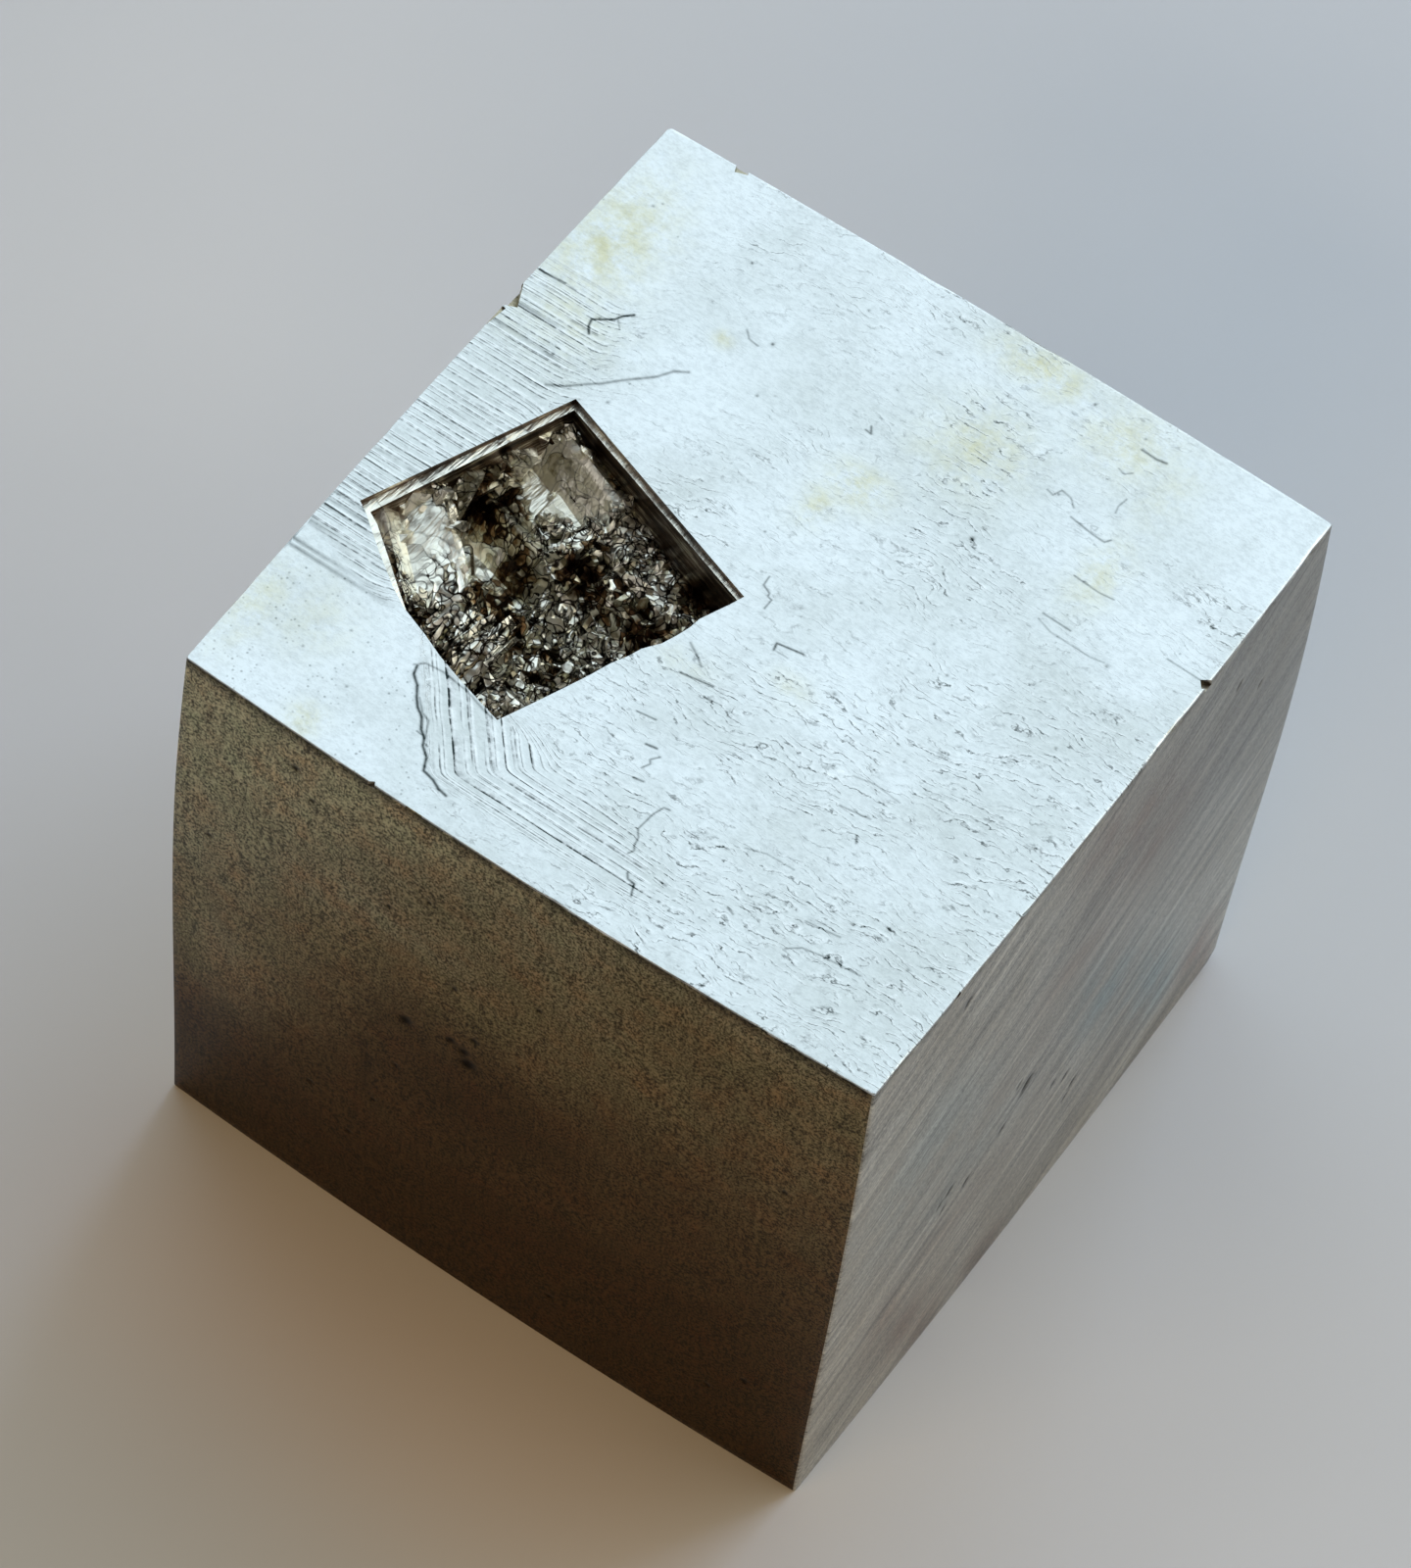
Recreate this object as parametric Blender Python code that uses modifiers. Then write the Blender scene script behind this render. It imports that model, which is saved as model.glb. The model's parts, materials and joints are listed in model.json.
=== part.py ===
# Pyrite cube: one natural crystal, with the square socket of a lost smaller crystal in its top face
import random
from math import atan2, pi, radians, sin

import bmesh
import bpy
from mathutils import Matrix, Vector

# Driving dimensions in millimetres and degrees. The origin is under the middle of the cube, +Z is up,
# -Y is the dark brown face, +X is the grey streaked face.
MM = 0.001
WIDTH = 39.4                # along X, between the corners
DEPTH = 40.2                # along Y, between the corners
HEIGHT = 40.6
FACE_CUTS = 9               # how finely each face is divided so that it can swell
BELLY = 0.3                 # swelling of the four upright edges
BELLY_POWER = 1.45          # puts the fullest level at 62 % of the height
FACE_BOW = {"-Y": 0.45, "+Y": 0.25, "-X": 0.2, "+X": 0.2}
EDGE_WEAR = 0.15            # narrow worn flat along every outer edge

# The socket's mouth, as seen from above, from the far left corner round past the far right one. The
# number beside each corner is its share of the ledge: the far walls step in below the rim, the near
# ones don't.
FAR_LEFT = Vector((-13.75, 3.6))
FAR_RIGHT = Vector((-0.65, -0.95))
NEAR_LEFT = Vector((-18.5, -7.7))
MOUTH = (
    (FAR_LEFT, 1.0),
    (FAR_RIGHT, 0.6),
    (Vector((-1.6, -3.3)), 0.0),
    (Vector((-1.9, -4.8)), 0.0),
    (Vector((-2.9, -6.5)), 0.0),
    (Vector((-3.5, -8.0)), 0.0),
    (Vector((-5.95, -13.9)), 0.0),
    (Vector((-12.4, -11.7)), 0.3),
    (Vector((-14.3, -10.8)), 0.6),
    (NEAR_LEFT, 1.0),
)
LEDGE_DEPTH = 0.4
LEDGE_WIDTH = 0.4
SOCKET_DEPTH = 5.8
CUT_OVERSHOOT = 2.0         # how far a cutter reaches above the top face

# Broken masses left standing on the socket's floor: place across and downward from the far left
# corner, length and width, depth of the top below the rim, then tilt about each way and turn
BROKEN_MASSES = {
    "pocket_floor": (2.4, 2.0, 6.6, 5.4, 3.6, 3, 2, 0),
    "pocket_slope": (2.4, 0.0, 6.4, 2.4, 2.2, -38, 2, 0),
    "pocket_step": (3.9, 2.9, 2.6, 1.9, 3.4, -9, 8, 21),
    "pocket_side": (0.1, 3.0, 1.5, 6.4, 2.7, 0, 27, 0),
    "crest": (5.5, 1.8, 1.0, 5.8, 2.8, -6, -10, 5),
    "crest_foot": (6.3, 3.9, 1.6, 2.2, 3.9, -32, 14, 10),
    "right_shelf": (10.0, 0.9, 8.6, 3.6, 3.4, -6, 5, 3),
    "right_shelf_step": (10.4, 1.9, 3.8, 1.8, 3.6, -14, 7, -8),
    "right_scarp": (10.2, 2.8, 9.0, 1.5, 4.0, -36, 3, 3),
    "scarp": (2.2, 4.6, 6.4, 1.7, 4.1, -36, 0, 4),
    "scarp_root": (6.8, 3.8, 15.6, 2.8, 5.0, 0, 0, 0),
    "left_shelf": (2.1, 11.2, 8.4, 5.6, 1.9, 13, 7, -24),
    "left_shelf_step": (4.6, 10.2, 3.4, 2.4, 2.3, 5, 15, -34),
    "left_shelf_rise": (2.4, 12.5, 6.8, 1.2, 1.1, 34, 8, -27),
    "fibre_wedge": (8.3, 12.7, 4.2, 4.4, 2.6, 19, 3, 4),
    "low_mass": (11.5, 11.1, 3.6, 2.8, 4.3, 10, -9, 12),
    "near_corner": (12.7, 13.2, 4.6, 4.2, 3.1, 18, -12, 8),
    "middle_lump": (7.6, 5.9, 2.4, 1.8, 5.0, 9, 11, 28),
}
MASS_ROOT = 7.8             # the masses' lower ends lie this far below the rim
MASS_BEVEL = 0.22

# Lumps clinging to the foot of the far left wall: place downward, size, depth of the top, roll, turn
WALL_LUMPS = (
    (1.3, 1.1, 2.0, 8, 17),
    (4.7, 1.5, 2.3, 16, 34),
    (6.2, 1.3, 2.7, 24, 51),
    (7.9, 1.6, 2.5, 32, 68),
    (9.3, 1.1, 2.0, 40, 85),
)
WALL_LUMP_REACH = 0.3       # how far from the wall their middles stand
WALL_LUMP_SLIM = 0.8        # width as a share of length
WALL_LUMP_LEAN = 32

# Small broken crumbs strewn over the rough floor
CRUMBS = 30
CRUMB_SEED = 11
CRUMB_SIZE = (0.7, 1.7)
CRUMB_FIELD = ((5.6, 13.4), (4.2, 12.6))    # across and downward
CRUMB_DEPTH = (4.95, 5.5)
CRUMB_LEAN = 28

# Chips along the top rim and one at a foot corner: middle of the cut, its size, its turn and lean
CHIPS = {
    "left_rim_notch": ((-20.0, 6.8, 40.6), (1.1, 1.5, 1.3), 24, 12),
    "left_rim_graze": ((-20.05, 5.3, 40.7), (0.7, 1.4, 0.6), -8, 6),
    "front_rim_nick": ((-8.6, -20.6, 40.6), (0.9, 0.8, 0.9), 32, 0),
    "front_rim_graze": ((-10.6, -20.7, 40.7), (1.3, 0.6, 0.5), 6, 0),
    "back_rim_nick": ((-15.3, 20.3, 40.7), (0.7, 0.7, 0.8), 20, 0),
    "right_rim_nick": ((19.8, 8.5, 40.7), (0.8, 0.6, 1.2), 38, 0),
    "back_corner": ((-19.9, 20.4, 40.2), (0.9, 0.9, 3.0), 45, 0),
    "foot_corner": ((20.1, 20.5, -0.3), (2.2, 2.2, 3.4), 45, 42),
}

MODEL = "pyrite_cube"
GUIDES = "pyrite_cube_cutters"
PYRITE_BRASS = (0.60, 0.50, 0.31, 1.0)
LUSTRE_ROUGHNESS = 0.35


def clear_scene():
    for thing in list(bpy.data.objects):
        bpy.data.objects.remove(thing, do_unlink=True)


def new_collection(name, parent=None):
    collection = bpy.data.collections.new(name)
    (parent or bpy.context.scene.collection).children.link(collection)
    return collection


def add_mesh_object(name, mesh, collection):
    made = bpy.data.objects.new(name, mesh)
    collection.objects.link(made)
    return made


def as_guide(thing):
    thing.hide_render = True
    thing.display_type = "WIRE"
    return thing


def pyrite_material():
    material = bpy.data.materials.new("pyrite_growth_faces")
    material.use_nodes = True
    shader = material.node_tree.nodes["Principled BSDF"]
    shader.inputs["Base Color"].default_value = PYRITE_BRASS
    shader.inputs["Metallic"].default_value = 1.0
    shader.inputs["Roughness"].default_value = LUSTRE_ROUGHNESS
    return material


# The block: a cube whose upright faces swell slightly, as a grown crystal's do

def swell(point, half_width, half_depth):
    across = point.x / half_width
    along = point.y / half_depth
    belly = BELLY * sin(pi * (point.z / HEIGHT) ** BELLY_POWER)
    moved = Vector((point.x + across * belly, point.y + along * belly, point.z))
    if abs(across) > 0.999:
        moved.x += across * FACE_BOW["+X" if across > 0 else "-X"] * (1 - along * along)
    if abs(along) > 0.999:
        moved.y += along * FACE_BOW["+Y" if along > 0 else "-Y"] * (1 - across * across)
    return moved


def block_mesh():
    shape = bmesh.new()
    place = Matrix.Translation((0, 0, HEIGHT / 2)) @ Matrix.Diagonal((WIDTH, DEPTH, HEIGHT, 1))
    bmesh.ops.create_cube(shape, size=1.0, matrix=place)
    bmesh.ops.subdivide_edges(shape, edges=shape.edges[:], cuts=FACE_CUTS, use_grid_fill=True)
    for vertex in shape.verts:
        vertex.co = swell(vertex.co, WIDTH / 2, DEPTH / 2)
    xs = [vertex.co.x for vertex in shape.verts]
    ys = [vertex.co.y for vertex in shape.verts]
    centre = Vector(((min(xs) + max(xs)) / 2, (min(ys) + max(ys)) / 2, 0))
    for vertex in shape.verts:
        vertex.co = (vertex.co - centre) * MM
    mesh = bpy.data.meshes.new(MODEL)
    shape.to_mesh(mesh)
    shape.free()
    return mesh


# The socket: a shallow rim ledge and a deeper well inside it

def socket_outline(ledge):
    middle = sum((corner for corner, share in MOUTH), Vector((0, 0))) / len(MOUTH)
    return [corner + (middle - corner).normalized() * ledge * share for corner, share in MOUTH]


def prism_cutter(name, outline, depth, collection):
    curve = bpy.data.curves.new(name, "CURVE")
    curve.dimensions = "2D"
    curve.fill_mode = "BOTH"
    curve.extrude = (depth + CUT_OVERSHOOT) / 2 * MM
    spline = curve.splines.new("POLY")
    spline.points.add(len(outline) - 1)
    for point, corner in zip(spline.points, outline):
        point.co = (corner.x * MM, corner.y * MM, 0, 1)
    spline.use_cyclic_u = True
    drawn = add_mesh_object(name + "_outline", curve, collection)
    drawn.location.z = (HEIGHT + (CUT_OVERSHOOT - depth) / 2) * MM
    bpy.context.view_layer.update()
    solid = bpy.data.meshes.new_from_object(drawn.evaluated_get(bpy.context.evaluated_depsgraph_get()))
    shape = bmesh.new()
    shape.from_mesh(solid)
    bmesh.ops.remove_doubles(shape, verts=shape.verts, dist=1e-6)
    bmesh.ops.recalc_face_normals(shape, faces=shape.faces)
    shape.to_mesh(solid)
    shape.free()
    cutter = add_mesh_object(name, solid, collection)
    cutter.matrix_world = drawn.matrix_world.copy()
    bpy.data.objects.remove(drawn, do_unlink=True)
    return as_guide(cutter)


def box_object(name, size, place, collection):
    shape = bmesh.new()
    bmesh.ops.create_cube(shape, size=1.0, matrix=Matrix.Diagonal((*(Vector(size) * MM), 1)))
    mesh = bpy.data.meshes.new(name)
    shape.to_mesh(mesh)
    shape.free()
    box = add_mesh_object(name, mesh, collection)
    box.matrix_world = place
    return as_guide(box)


def in_socket(across, downward, depth):
    along_far_wall = (FAR_RIGHT - FAR_LEFT).normalized() * across
    along_left_wall = (NEAR_LEFT - FAR_LEFT).normalized() * downward
    place = FAR_LEFT + along_far_wall + along_left_wall
    return Vector((place.x, place.y, HEIGHT - depth)) * MM


def socket_turn():
    far_wall = FAR_RIGHT - FAR_LEFT
    return atan2(far_wall.y, far_wall.x)


def broken_mass(name, row, collection):
    across, downward, length, width, depth, tilt_long, tilt_wide, turn = row
    tall = MASS_ROOT - depth
    lean = Matrix.Rotation(radians(tilt_long), 4, "X") @ Matrix.Rotation(radians(tilt_wide), 4, "Y")
    place = Matrix.Translation(in_socket(across, downward, depth))
    place = place @ Matrix.Rotation(socket_turn() + radians(turn), 4, "Z") @ lean
    place = place @ Matrix.Translation((0, 0, -tall / 2 * MM))
    mass = box_object(name, (length, width, tall), place, collection)
    worn = mass.modifiers.new("worn_edges", "BEVEL")
    worn.width = MASS_BEVEL * MM
    worn.segments = 1
    return mass


def wall_lump_rows():
    rows = {}
    for number, (downward, size, depth, roll, turn) in enumerate(WALL_LUMPS, 1):
        place = (WALL_LUMP_REACH, downward)
        rows[f"wall_lump_{number}"] = (*place, size, size * WALL_LUMP_SLIM, depth, roll, WALL_LUMP_LEAN, turn)
    return rows


def crumb_rows():
    chance = random.Random(CRUMB_SEED)
    rows = {}
    for number in range(CRUMBS):
        rows[f"crumb_{number + 1:02d}"] = (
            chance.uniform(*CRUMB_FIELD[0]),
            chance.uniform(*CRUMB_FIELD[1]),
            chance.uniform(*CRUMB_SIZE),
            chance.uniform(*CRUMB_SIZE),
            chance.uniform(*CRUMB_DEPTH),
            chance.uniform(-CRUMB_LEAN, CRUMB_LEAN),
            chance.uniform(-CRUMB_LEAN, CRUMB_LEAN),
            chance.uniform(0, 90),
        )
    return rows


def chip_cutter(name, row, collection):
    middle, size, turn, lean = row
    place = Matrix.Translation(Vector(middle) * MM) @ Matrix.Rotation(radians(turn), 4, "Z")
    place = place @ Matrix.Rotation(radians(lean), 4, "Y")
    return box_object(name, size, place, collection)


def cut_away(thing, name, collection):
    step = thing.modifiers.new(name, "BOOLEAN")
    step.operation = "DIFFERENCE"
    step.solver = "EXACT"
    step.operand_type = "COLLECTION"
    step.collection = collection


def main():
    clear_scene()
    model = new_collection(MODEL)
    guides = new_collection(GUIDES)
    cuts = new_collection("socket_and_chips", guides)
    masses = new_collection("broken_masses", guides)

    # The well leaves the broken masses standing, so they are cut from it before it cuts the crystal
    for name, row in {**BROKEN_MASSES, **wall_lump_rows(), **crumb_rows()}.items():
        broken_mass(name, row, masses)
    well = prism_cutter("socket_well", socket_outline(LEDGE_WIDTH), SOCKET_DEPTH, cuts)
    cut_away(well, "keep_masses", masses)
    prism_cutter("rim_ledge", socket_outline(0), LEDGE_DEPTH, cuts)
    for name, row in CHIPS.items():
        chip_cutter(name, row, cuts)

    crystal = add_mesh_object(MODEL, block_mesh(), model)
    crystal.data.materials.append(pyrite_material())
    wear = crystal.modifiers.new("edge_wear", "BEVEL")
    wear.width = EDGE_WEAR * MM
    wear.segments = 1
    wear.limit_method = "ANGLE"
    wear.angle_limit = radians(40)
    cut_away(crystal, "cut_socket_and_chips", cuts)
    bpy.context.view_layer.update()


main()
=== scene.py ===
# Pyrite cube with the square socket of a lost smaller crystal in its top face, standing on a pale floor
import json
import random
from functools import partial
from math import atan2, pi, radians

import bmesh
import bpy
import numpy as np
from mathutils import Euler, Matrix, Vector, noise
from mathutils.bvhtree import BVHTree

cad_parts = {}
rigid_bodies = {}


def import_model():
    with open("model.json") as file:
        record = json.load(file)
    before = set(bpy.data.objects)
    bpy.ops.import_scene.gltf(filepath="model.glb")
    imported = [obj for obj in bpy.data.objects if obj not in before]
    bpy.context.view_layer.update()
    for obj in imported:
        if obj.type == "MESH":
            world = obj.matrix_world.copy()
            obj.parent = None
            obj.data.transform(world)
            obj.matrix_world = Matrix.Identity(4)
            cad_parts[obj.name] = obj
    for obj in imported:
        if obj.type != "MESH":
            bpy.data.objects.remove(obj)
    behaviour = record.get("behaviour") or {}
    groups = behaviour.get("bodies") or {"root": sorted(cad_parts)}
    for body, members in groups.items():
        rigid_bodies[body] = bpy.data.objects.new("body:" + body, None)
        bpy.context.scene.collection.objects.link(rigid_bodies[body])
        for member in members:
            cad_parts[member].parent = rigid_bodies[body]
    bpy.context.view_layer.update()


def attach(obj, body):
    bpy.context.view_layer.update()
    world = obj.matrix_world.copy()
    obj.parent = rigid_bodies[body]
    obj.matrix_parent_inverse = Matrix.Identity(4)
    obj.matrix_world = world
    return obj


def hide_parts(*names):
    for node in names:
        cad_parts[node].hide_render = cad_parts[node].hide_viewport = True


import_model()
mm = 0.001


# Small helpers

def deselectAll():
    if bpy.context.object and bpy.context.object.mode != "OBJECT":
        bpy.ops.object.mode_set(mode="OBJECT")
    bpy.ops.object.select_all(action="DESELECT")


def makeActive(piece):
    deselectAll()
    piece.select_set(True)
    bpy.context.view_layer.objects.active = piece


def selectFaces(piece, wanted):
    makeActive(piece)
    bpy.ops.object.mode_set(mode="EDIT")
    bpy.ops.mesh.select_mode(type="FACE")
    bpy.ops.mesh.select_all(action="DESELECT")
    shape = bmesh.from_edit_mesh(piece.data)
    for face in shape.faces:
        face.select = wanted(face)
    bmesh.update_edit_mesh(piece.data)


def applyModifiers(piece):
    makeActive(piece)
    for step in list(piece.modifiers):
        bpy.ops.object.modifier_apply(modifier=step.name)


def cutAway(piece, cutters):
    hole = bpy.data.collections.new("cutters")
    bpy.context.scene.collection.children.link(hole)
    for cutter in cutters:
        hole.objects.link(cutter)
    step = piece.modifiers.new("cut", "BOOLEAN")
    step.operation = "DIFFERENCE"
    step.solver = "MANIFOLD"
    step.operand_type = "COLLECTION"
    step.collection = hole
    applyModifiers(piece)
    for cutter in cutters:
        bpy.data.objects.remove(cutter, do_unlink=True)
    bpy.data.collections.remove(hole)


def readPoints(piece):
    flat = np.zeros(len(piece.data.vertices) * 3)
    piece.data.vertices.foreach_get("co", flat)
    return flat.reshape(-1, 3) / mm


def writePoints(piece, points):
    piece.data.vertices.foreach_set("co", (points * mm).ravel())
    piece.data.update()


def smooth(low, high, value):
    share = np.clip((value - low) / (high - low), 0, 1)
    return share * share * (3 - 2 * share)


def noiseAt(points, size, seed):
    # Perlin noise whose blobs are size (mm) along each axis
    shift = Vector((seed * 7.31, seed * 3.17, seed * 5.73))
    scaled = points / np.array(size)
    return np.array([noise.noise(Vector(point) + shift) for point in scaled])


def lineDistance(x, y, line):
    nearest = np.full(x.shape, 1e9)
    for (ax, ay), (bx, by) in zip(line, line[1:]):
        dx, dy = bx - ax, by - ay
        share = np.clip(((x - ax) * dx + (y - ay) * dy) / (dx * dx + dy * dy), 0, 1)
        nearest = np.minimum(nearest, np.hypot(x - ax - share * dx, y - ay - share * dy))
    return nearest


# The crystal block: a cube with gently swelling upright faces. Sizes in mm, as in the CAD

block = {
    "width": 39.4,
    "depth": 40.2,
    "height": 40.6,
    "cells": 42,                # squares along each edge
    "topSplit": 5,              # finer squares for the growth relief of the top face
    "sideSplit": 2,             # and for the brown and the grey face
    "edgeWear": 0.13,
    "belly": 0.3,
    "bellyPower": 1.45,
    "bow": {"front": 0.45, "back": 0.25, "left": 0.2, "right": 0.2},
    "backShift": 0.1,           # centres the swollen block, as the CAD does
    "refineReach": (0.34, 0.16),    # finer squares nearer than this to a crack or pit, twice
    "topLower": 0.02,           # keeps the relief below the CAD's top
    "bites": {"size": 0.5, "rarity": 0.15, "depth": 0.1, "seed": 61},
}


def makeBlock():
    width, depth, height = block["width"], block["depth"], block["height"]
    deselectAll()
    bpy.ops.mesh.primitive_cube_add(size=1, location=(0, 0, height / 2 * mm),
                                    scale=(width * mm, depth * mm, height * mm))
    crystal = bpy.context.object
    crystal.name = "pyriteCrystal"
    bpy.ops.object.transform_apply(location=True, rotation=True, scale=True)
    bpy.ops.object.mode_set(mode="EDIT")
    bpy.ops.mesh.select_all(action="SELECT")
    bpy.ops.mesh.subdivide(number_cuts=block["cells"] - 1)
    # The worn edges are bevelled while the twelve edges are still straight
    bpy.ops.mesh.select_mode(type="EDGE")
    bpy.ops.mesh.select_all(action="DESELECT")
    bpy.ops.mesh.edges_select_sharp(sharpness=radians(60))
    bpy.ops.mesh.bevel(offset=block["edgeWear"] * mm, segments=2)
    selectFaces(crystal, lambda face: face.normal.z > 0.99)
    bpy.ops.mesh.subdivide(number_cuts=block["topSplit"] - 1)
    selectFaces(crystal, lambda face: face.normal.y < -0.99 or face.normal.x > 0.99)
    bpy.ops.mesh.subdivide(number_cuts=block["sideSplit"] - 1)
    bpy.ops.object.mode_set(mode="OBJECT")
    return crystal


def swellBlock(points):
    x, y, z = points.T
    across = x / (block["width"] / 2)
    along = y / (block["depth"] / 2)
    belly = block["belly"] * np.sin(pi * np.clip(z / block["height"], 0, 1) ** block["bellyPower"])
    bow = block["bow"]
    sideBow = np.where(across > 0, bow["right"], bow["left"]) * (1 - along ** 2) * np.abs(across) ** 6
    frontBow = np.where(along > 0, bow["back"], bow["front"]) * (1 - across ** 2) * np.abs(along) ** 6
    x = x + across * belly + np.sign(across) * sideBow
    y = y + along * belly + np.sign(along) * frontBow + block["backShift"]
    return np.stack((x, y, z), 1)


# Growth relief of the top face. Lines are points across (x) and along (y) the face, in mm

topLines = {
    # name: (line, width, depth, darkness)
    "growthEdge": (((-15.4, 3.4), (-14.6, 3.9), (-13.9, 4.6), (-13.3, 5.1), (-12.6, 5.9), (-12, 6.5),
                    (-11.4, 7.1), (-10.9, 7.9), (-10.3, 8.3)), 0.24, 0.007, 0.55),
    "jaggedCrack": (((-15.5, 7.2), (-15.8, 7.6), (-15.9, 8.0), (-15.5, 8.3), (-15.0, 8.7), (-14.8, 9.1),
                     (-14.4, 9.5)), 0.2, 0.011, 0.9),
    "crackSpur": (((-14.9, 8.8), (-14.5, 8.4)), 0.14, 0.006, 0.5),
    "longCrack": (((-10.75, -13.7), (-10.6, -14.2), (-10.1, -14.6), (-9.7, -15.2), (-9.35, -15.6),
                   (-8.9, -15.9), (-8.5, -16.5), (-8.1, -16.8), (-7.9, -17.2), (-7.4, -17.6),
                   (-7.05, -18.3), (-6.4, -18.45), (-5.9, -18.7), (-5.4, -18.8)), 0.22, 0.014, 0.95),
    "crackTwin": (((-9.6, -15.1), (-9.0, -15.7), (-8.5, -15.9), (-8.2, -16.5), (-8.0, -16.9)),
                  0.14, 0.007, 0.6),
    "crackSteps": (((-8.6, -16.7), (-8.1, -16.75), (-8.0, -17.0), (-7.7, -17.1)), 0.14, 0.007, 0.7),
    "edgeLine": (((-10.9, -13.75), (-10.5, -13.35), (-9.5, -13.25), (-8.0, -13.45), (-6.9, -13.8),
                  (-6.2, -13.95)), 0.18, 0.006, 0.5),
    "crackA": (((3.4, -13.05), (3.1, -13.1), (2.9, -13.7), (2.85, -14.3), (2.8, -14.8), (3.1, -15.2),
                (3.2, -15.7), (3.35, -15.9), (3.2, -16.2)), 0.15, 0.007, 0.6),
    "crackB": (((3.8, -17.1), (4.0, -17.35), (4.4, -17.4), (4.55, -17.8), (4.65, -18.0)), 0.16, 0.009, 0.75),
    "crackC": (((1.35, -10.9), (1.05, -11.3), (1.2, -11.5), (1.0, -11.9)), 0.15, 0.007, 0.6),
    "tickA": (((0.4, -10.7), (0.95, -10.6)), 0.2, 0.007, 0.8),
    "tickB": (((1.0, -12.6), (1.5, -12.5)), 0.18, 0.007, 0.7),
    "tickC": (((-1.0, -9.45), (0.0, -9.3)), 0.15, 0.006, 0.7),
    "tickD": (((-0.6, -6.4), (0.2, -6.25), (1.1, -6.1)), 0.17, 0.007, 0.7),
    "tickE": (((1.1, -6.85), (1.5, -6.8)), 0.18, 0.006, 0.6),
    "slant": (((-1.2, -4.7), (-0.7, -5.0), (0.0, -5.5)), 0.2, 0.007, 0.55),
    "tabletTop": (((2.1, -2.2), (3.45, -1.95)), 0.17, 0.007, 0.85),
    "tabletSide": (((2.1, -2.2), (2.2, -2.6)), 0.2, 0.007, 0.8),
    "tabletFoot": (((2.2, -2.6), (3.0, -2.6)), 0.12, 0.006, 0.4),
    "zigzag": (((-0.35, 0.75), (-0.3, 0.2), (0.2, -0.05), (0.25, -0.25), (0.5, -0.3), (0.5, -0.9)),
               0.14, 0.007, 0.65),
    "backTick": (((-1.4, 11.15), (-1.15, 10.75), (-1.5, 10.8)), 0.16, 0.007, 0.7),
    "wingA": (((7.5, 13.3), (7.9, 13.2), (8.1, 13.7), (8.7, 13.6), (9.1, 13.2)), 0.15, 0.006, 0.5),
    "wingB": (((9.9, 18.15), (10.8, 18.1), (11.3, 18.2)), 0.2, 0.007, 0.7),
    "wingC": (((9.3, 12.65), (10.6, 12.45), (11.4, 12.4), (11.6, 12.7)), 0.16, 0.007, 0.6),
    "wingD": (((11.3, 9.85), (12.8, 9.75), (13.6, 9.85)), 0.14, 0.006, 0.55),
    "wingE": (((9.6, 16.5), (10.0, 16.4), (10.3, 16.7)), 0.14, 0.006, 0.5),
    "wingF": (((10.9, 15.2), (10.8, 14.6), (10.9, 14.2)), 0.14, 0.006, 0.5),
    "ripple": (((11.3, 7.1), (12.9, 7.05)), 0.15, 0.006, 0.6),
    "rippleB": (((11.3, 6.7), (12.2, 6.4), (14.5, 6.35), (15.2, 6.5)), 0.13, 0.006, 0.4),
    "notchTail": (((-20.0, 8.95), (-19.4, 8.9), (-18.2, 9.0)), 0.18, 0.006, 0.7),
    "rimTail": (((17.5, 8.55), (19.6, 8.5)), 0.14, 0.006, 0.5),
    "farTick": (((-9.5, 12.2), (-9.1, 11.8), (-8.5, 11.7)), 0.15, 0.006, 0.5),
    "dashA": (((9.6, -7.95), (11.2, -7.7)), 0.15, 0.006, 0.5),
    "dashB": (((9.2, -6.2), (10.3, -5.95), (11.8, -6.1)), 0.13, 0.006, 0.35),
    "dashC": (((11.2, -8.85), (11.4, -9.2)), 0.18, 0.006, 0.7),
    "dashD": (((7.4, -12.6), (8.4, -12.25), (9.9, -12.2)), 0.13, 0.006, 0.4),
    "dashE": (((12.0, -16.0), (12.6, -15.5), (13.6, -15.3), (15.6, -15.1)), 0.15, 0.006, 0.5),
    "dashF": (((11.9, -14.2), (13.7, -13.95)), 0.14, 0.006, 0.5),
    "dashG": (((8.6, -15.8), (9.0, -15.95)), 0.17, 0.006, 0.6),
}

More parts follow.
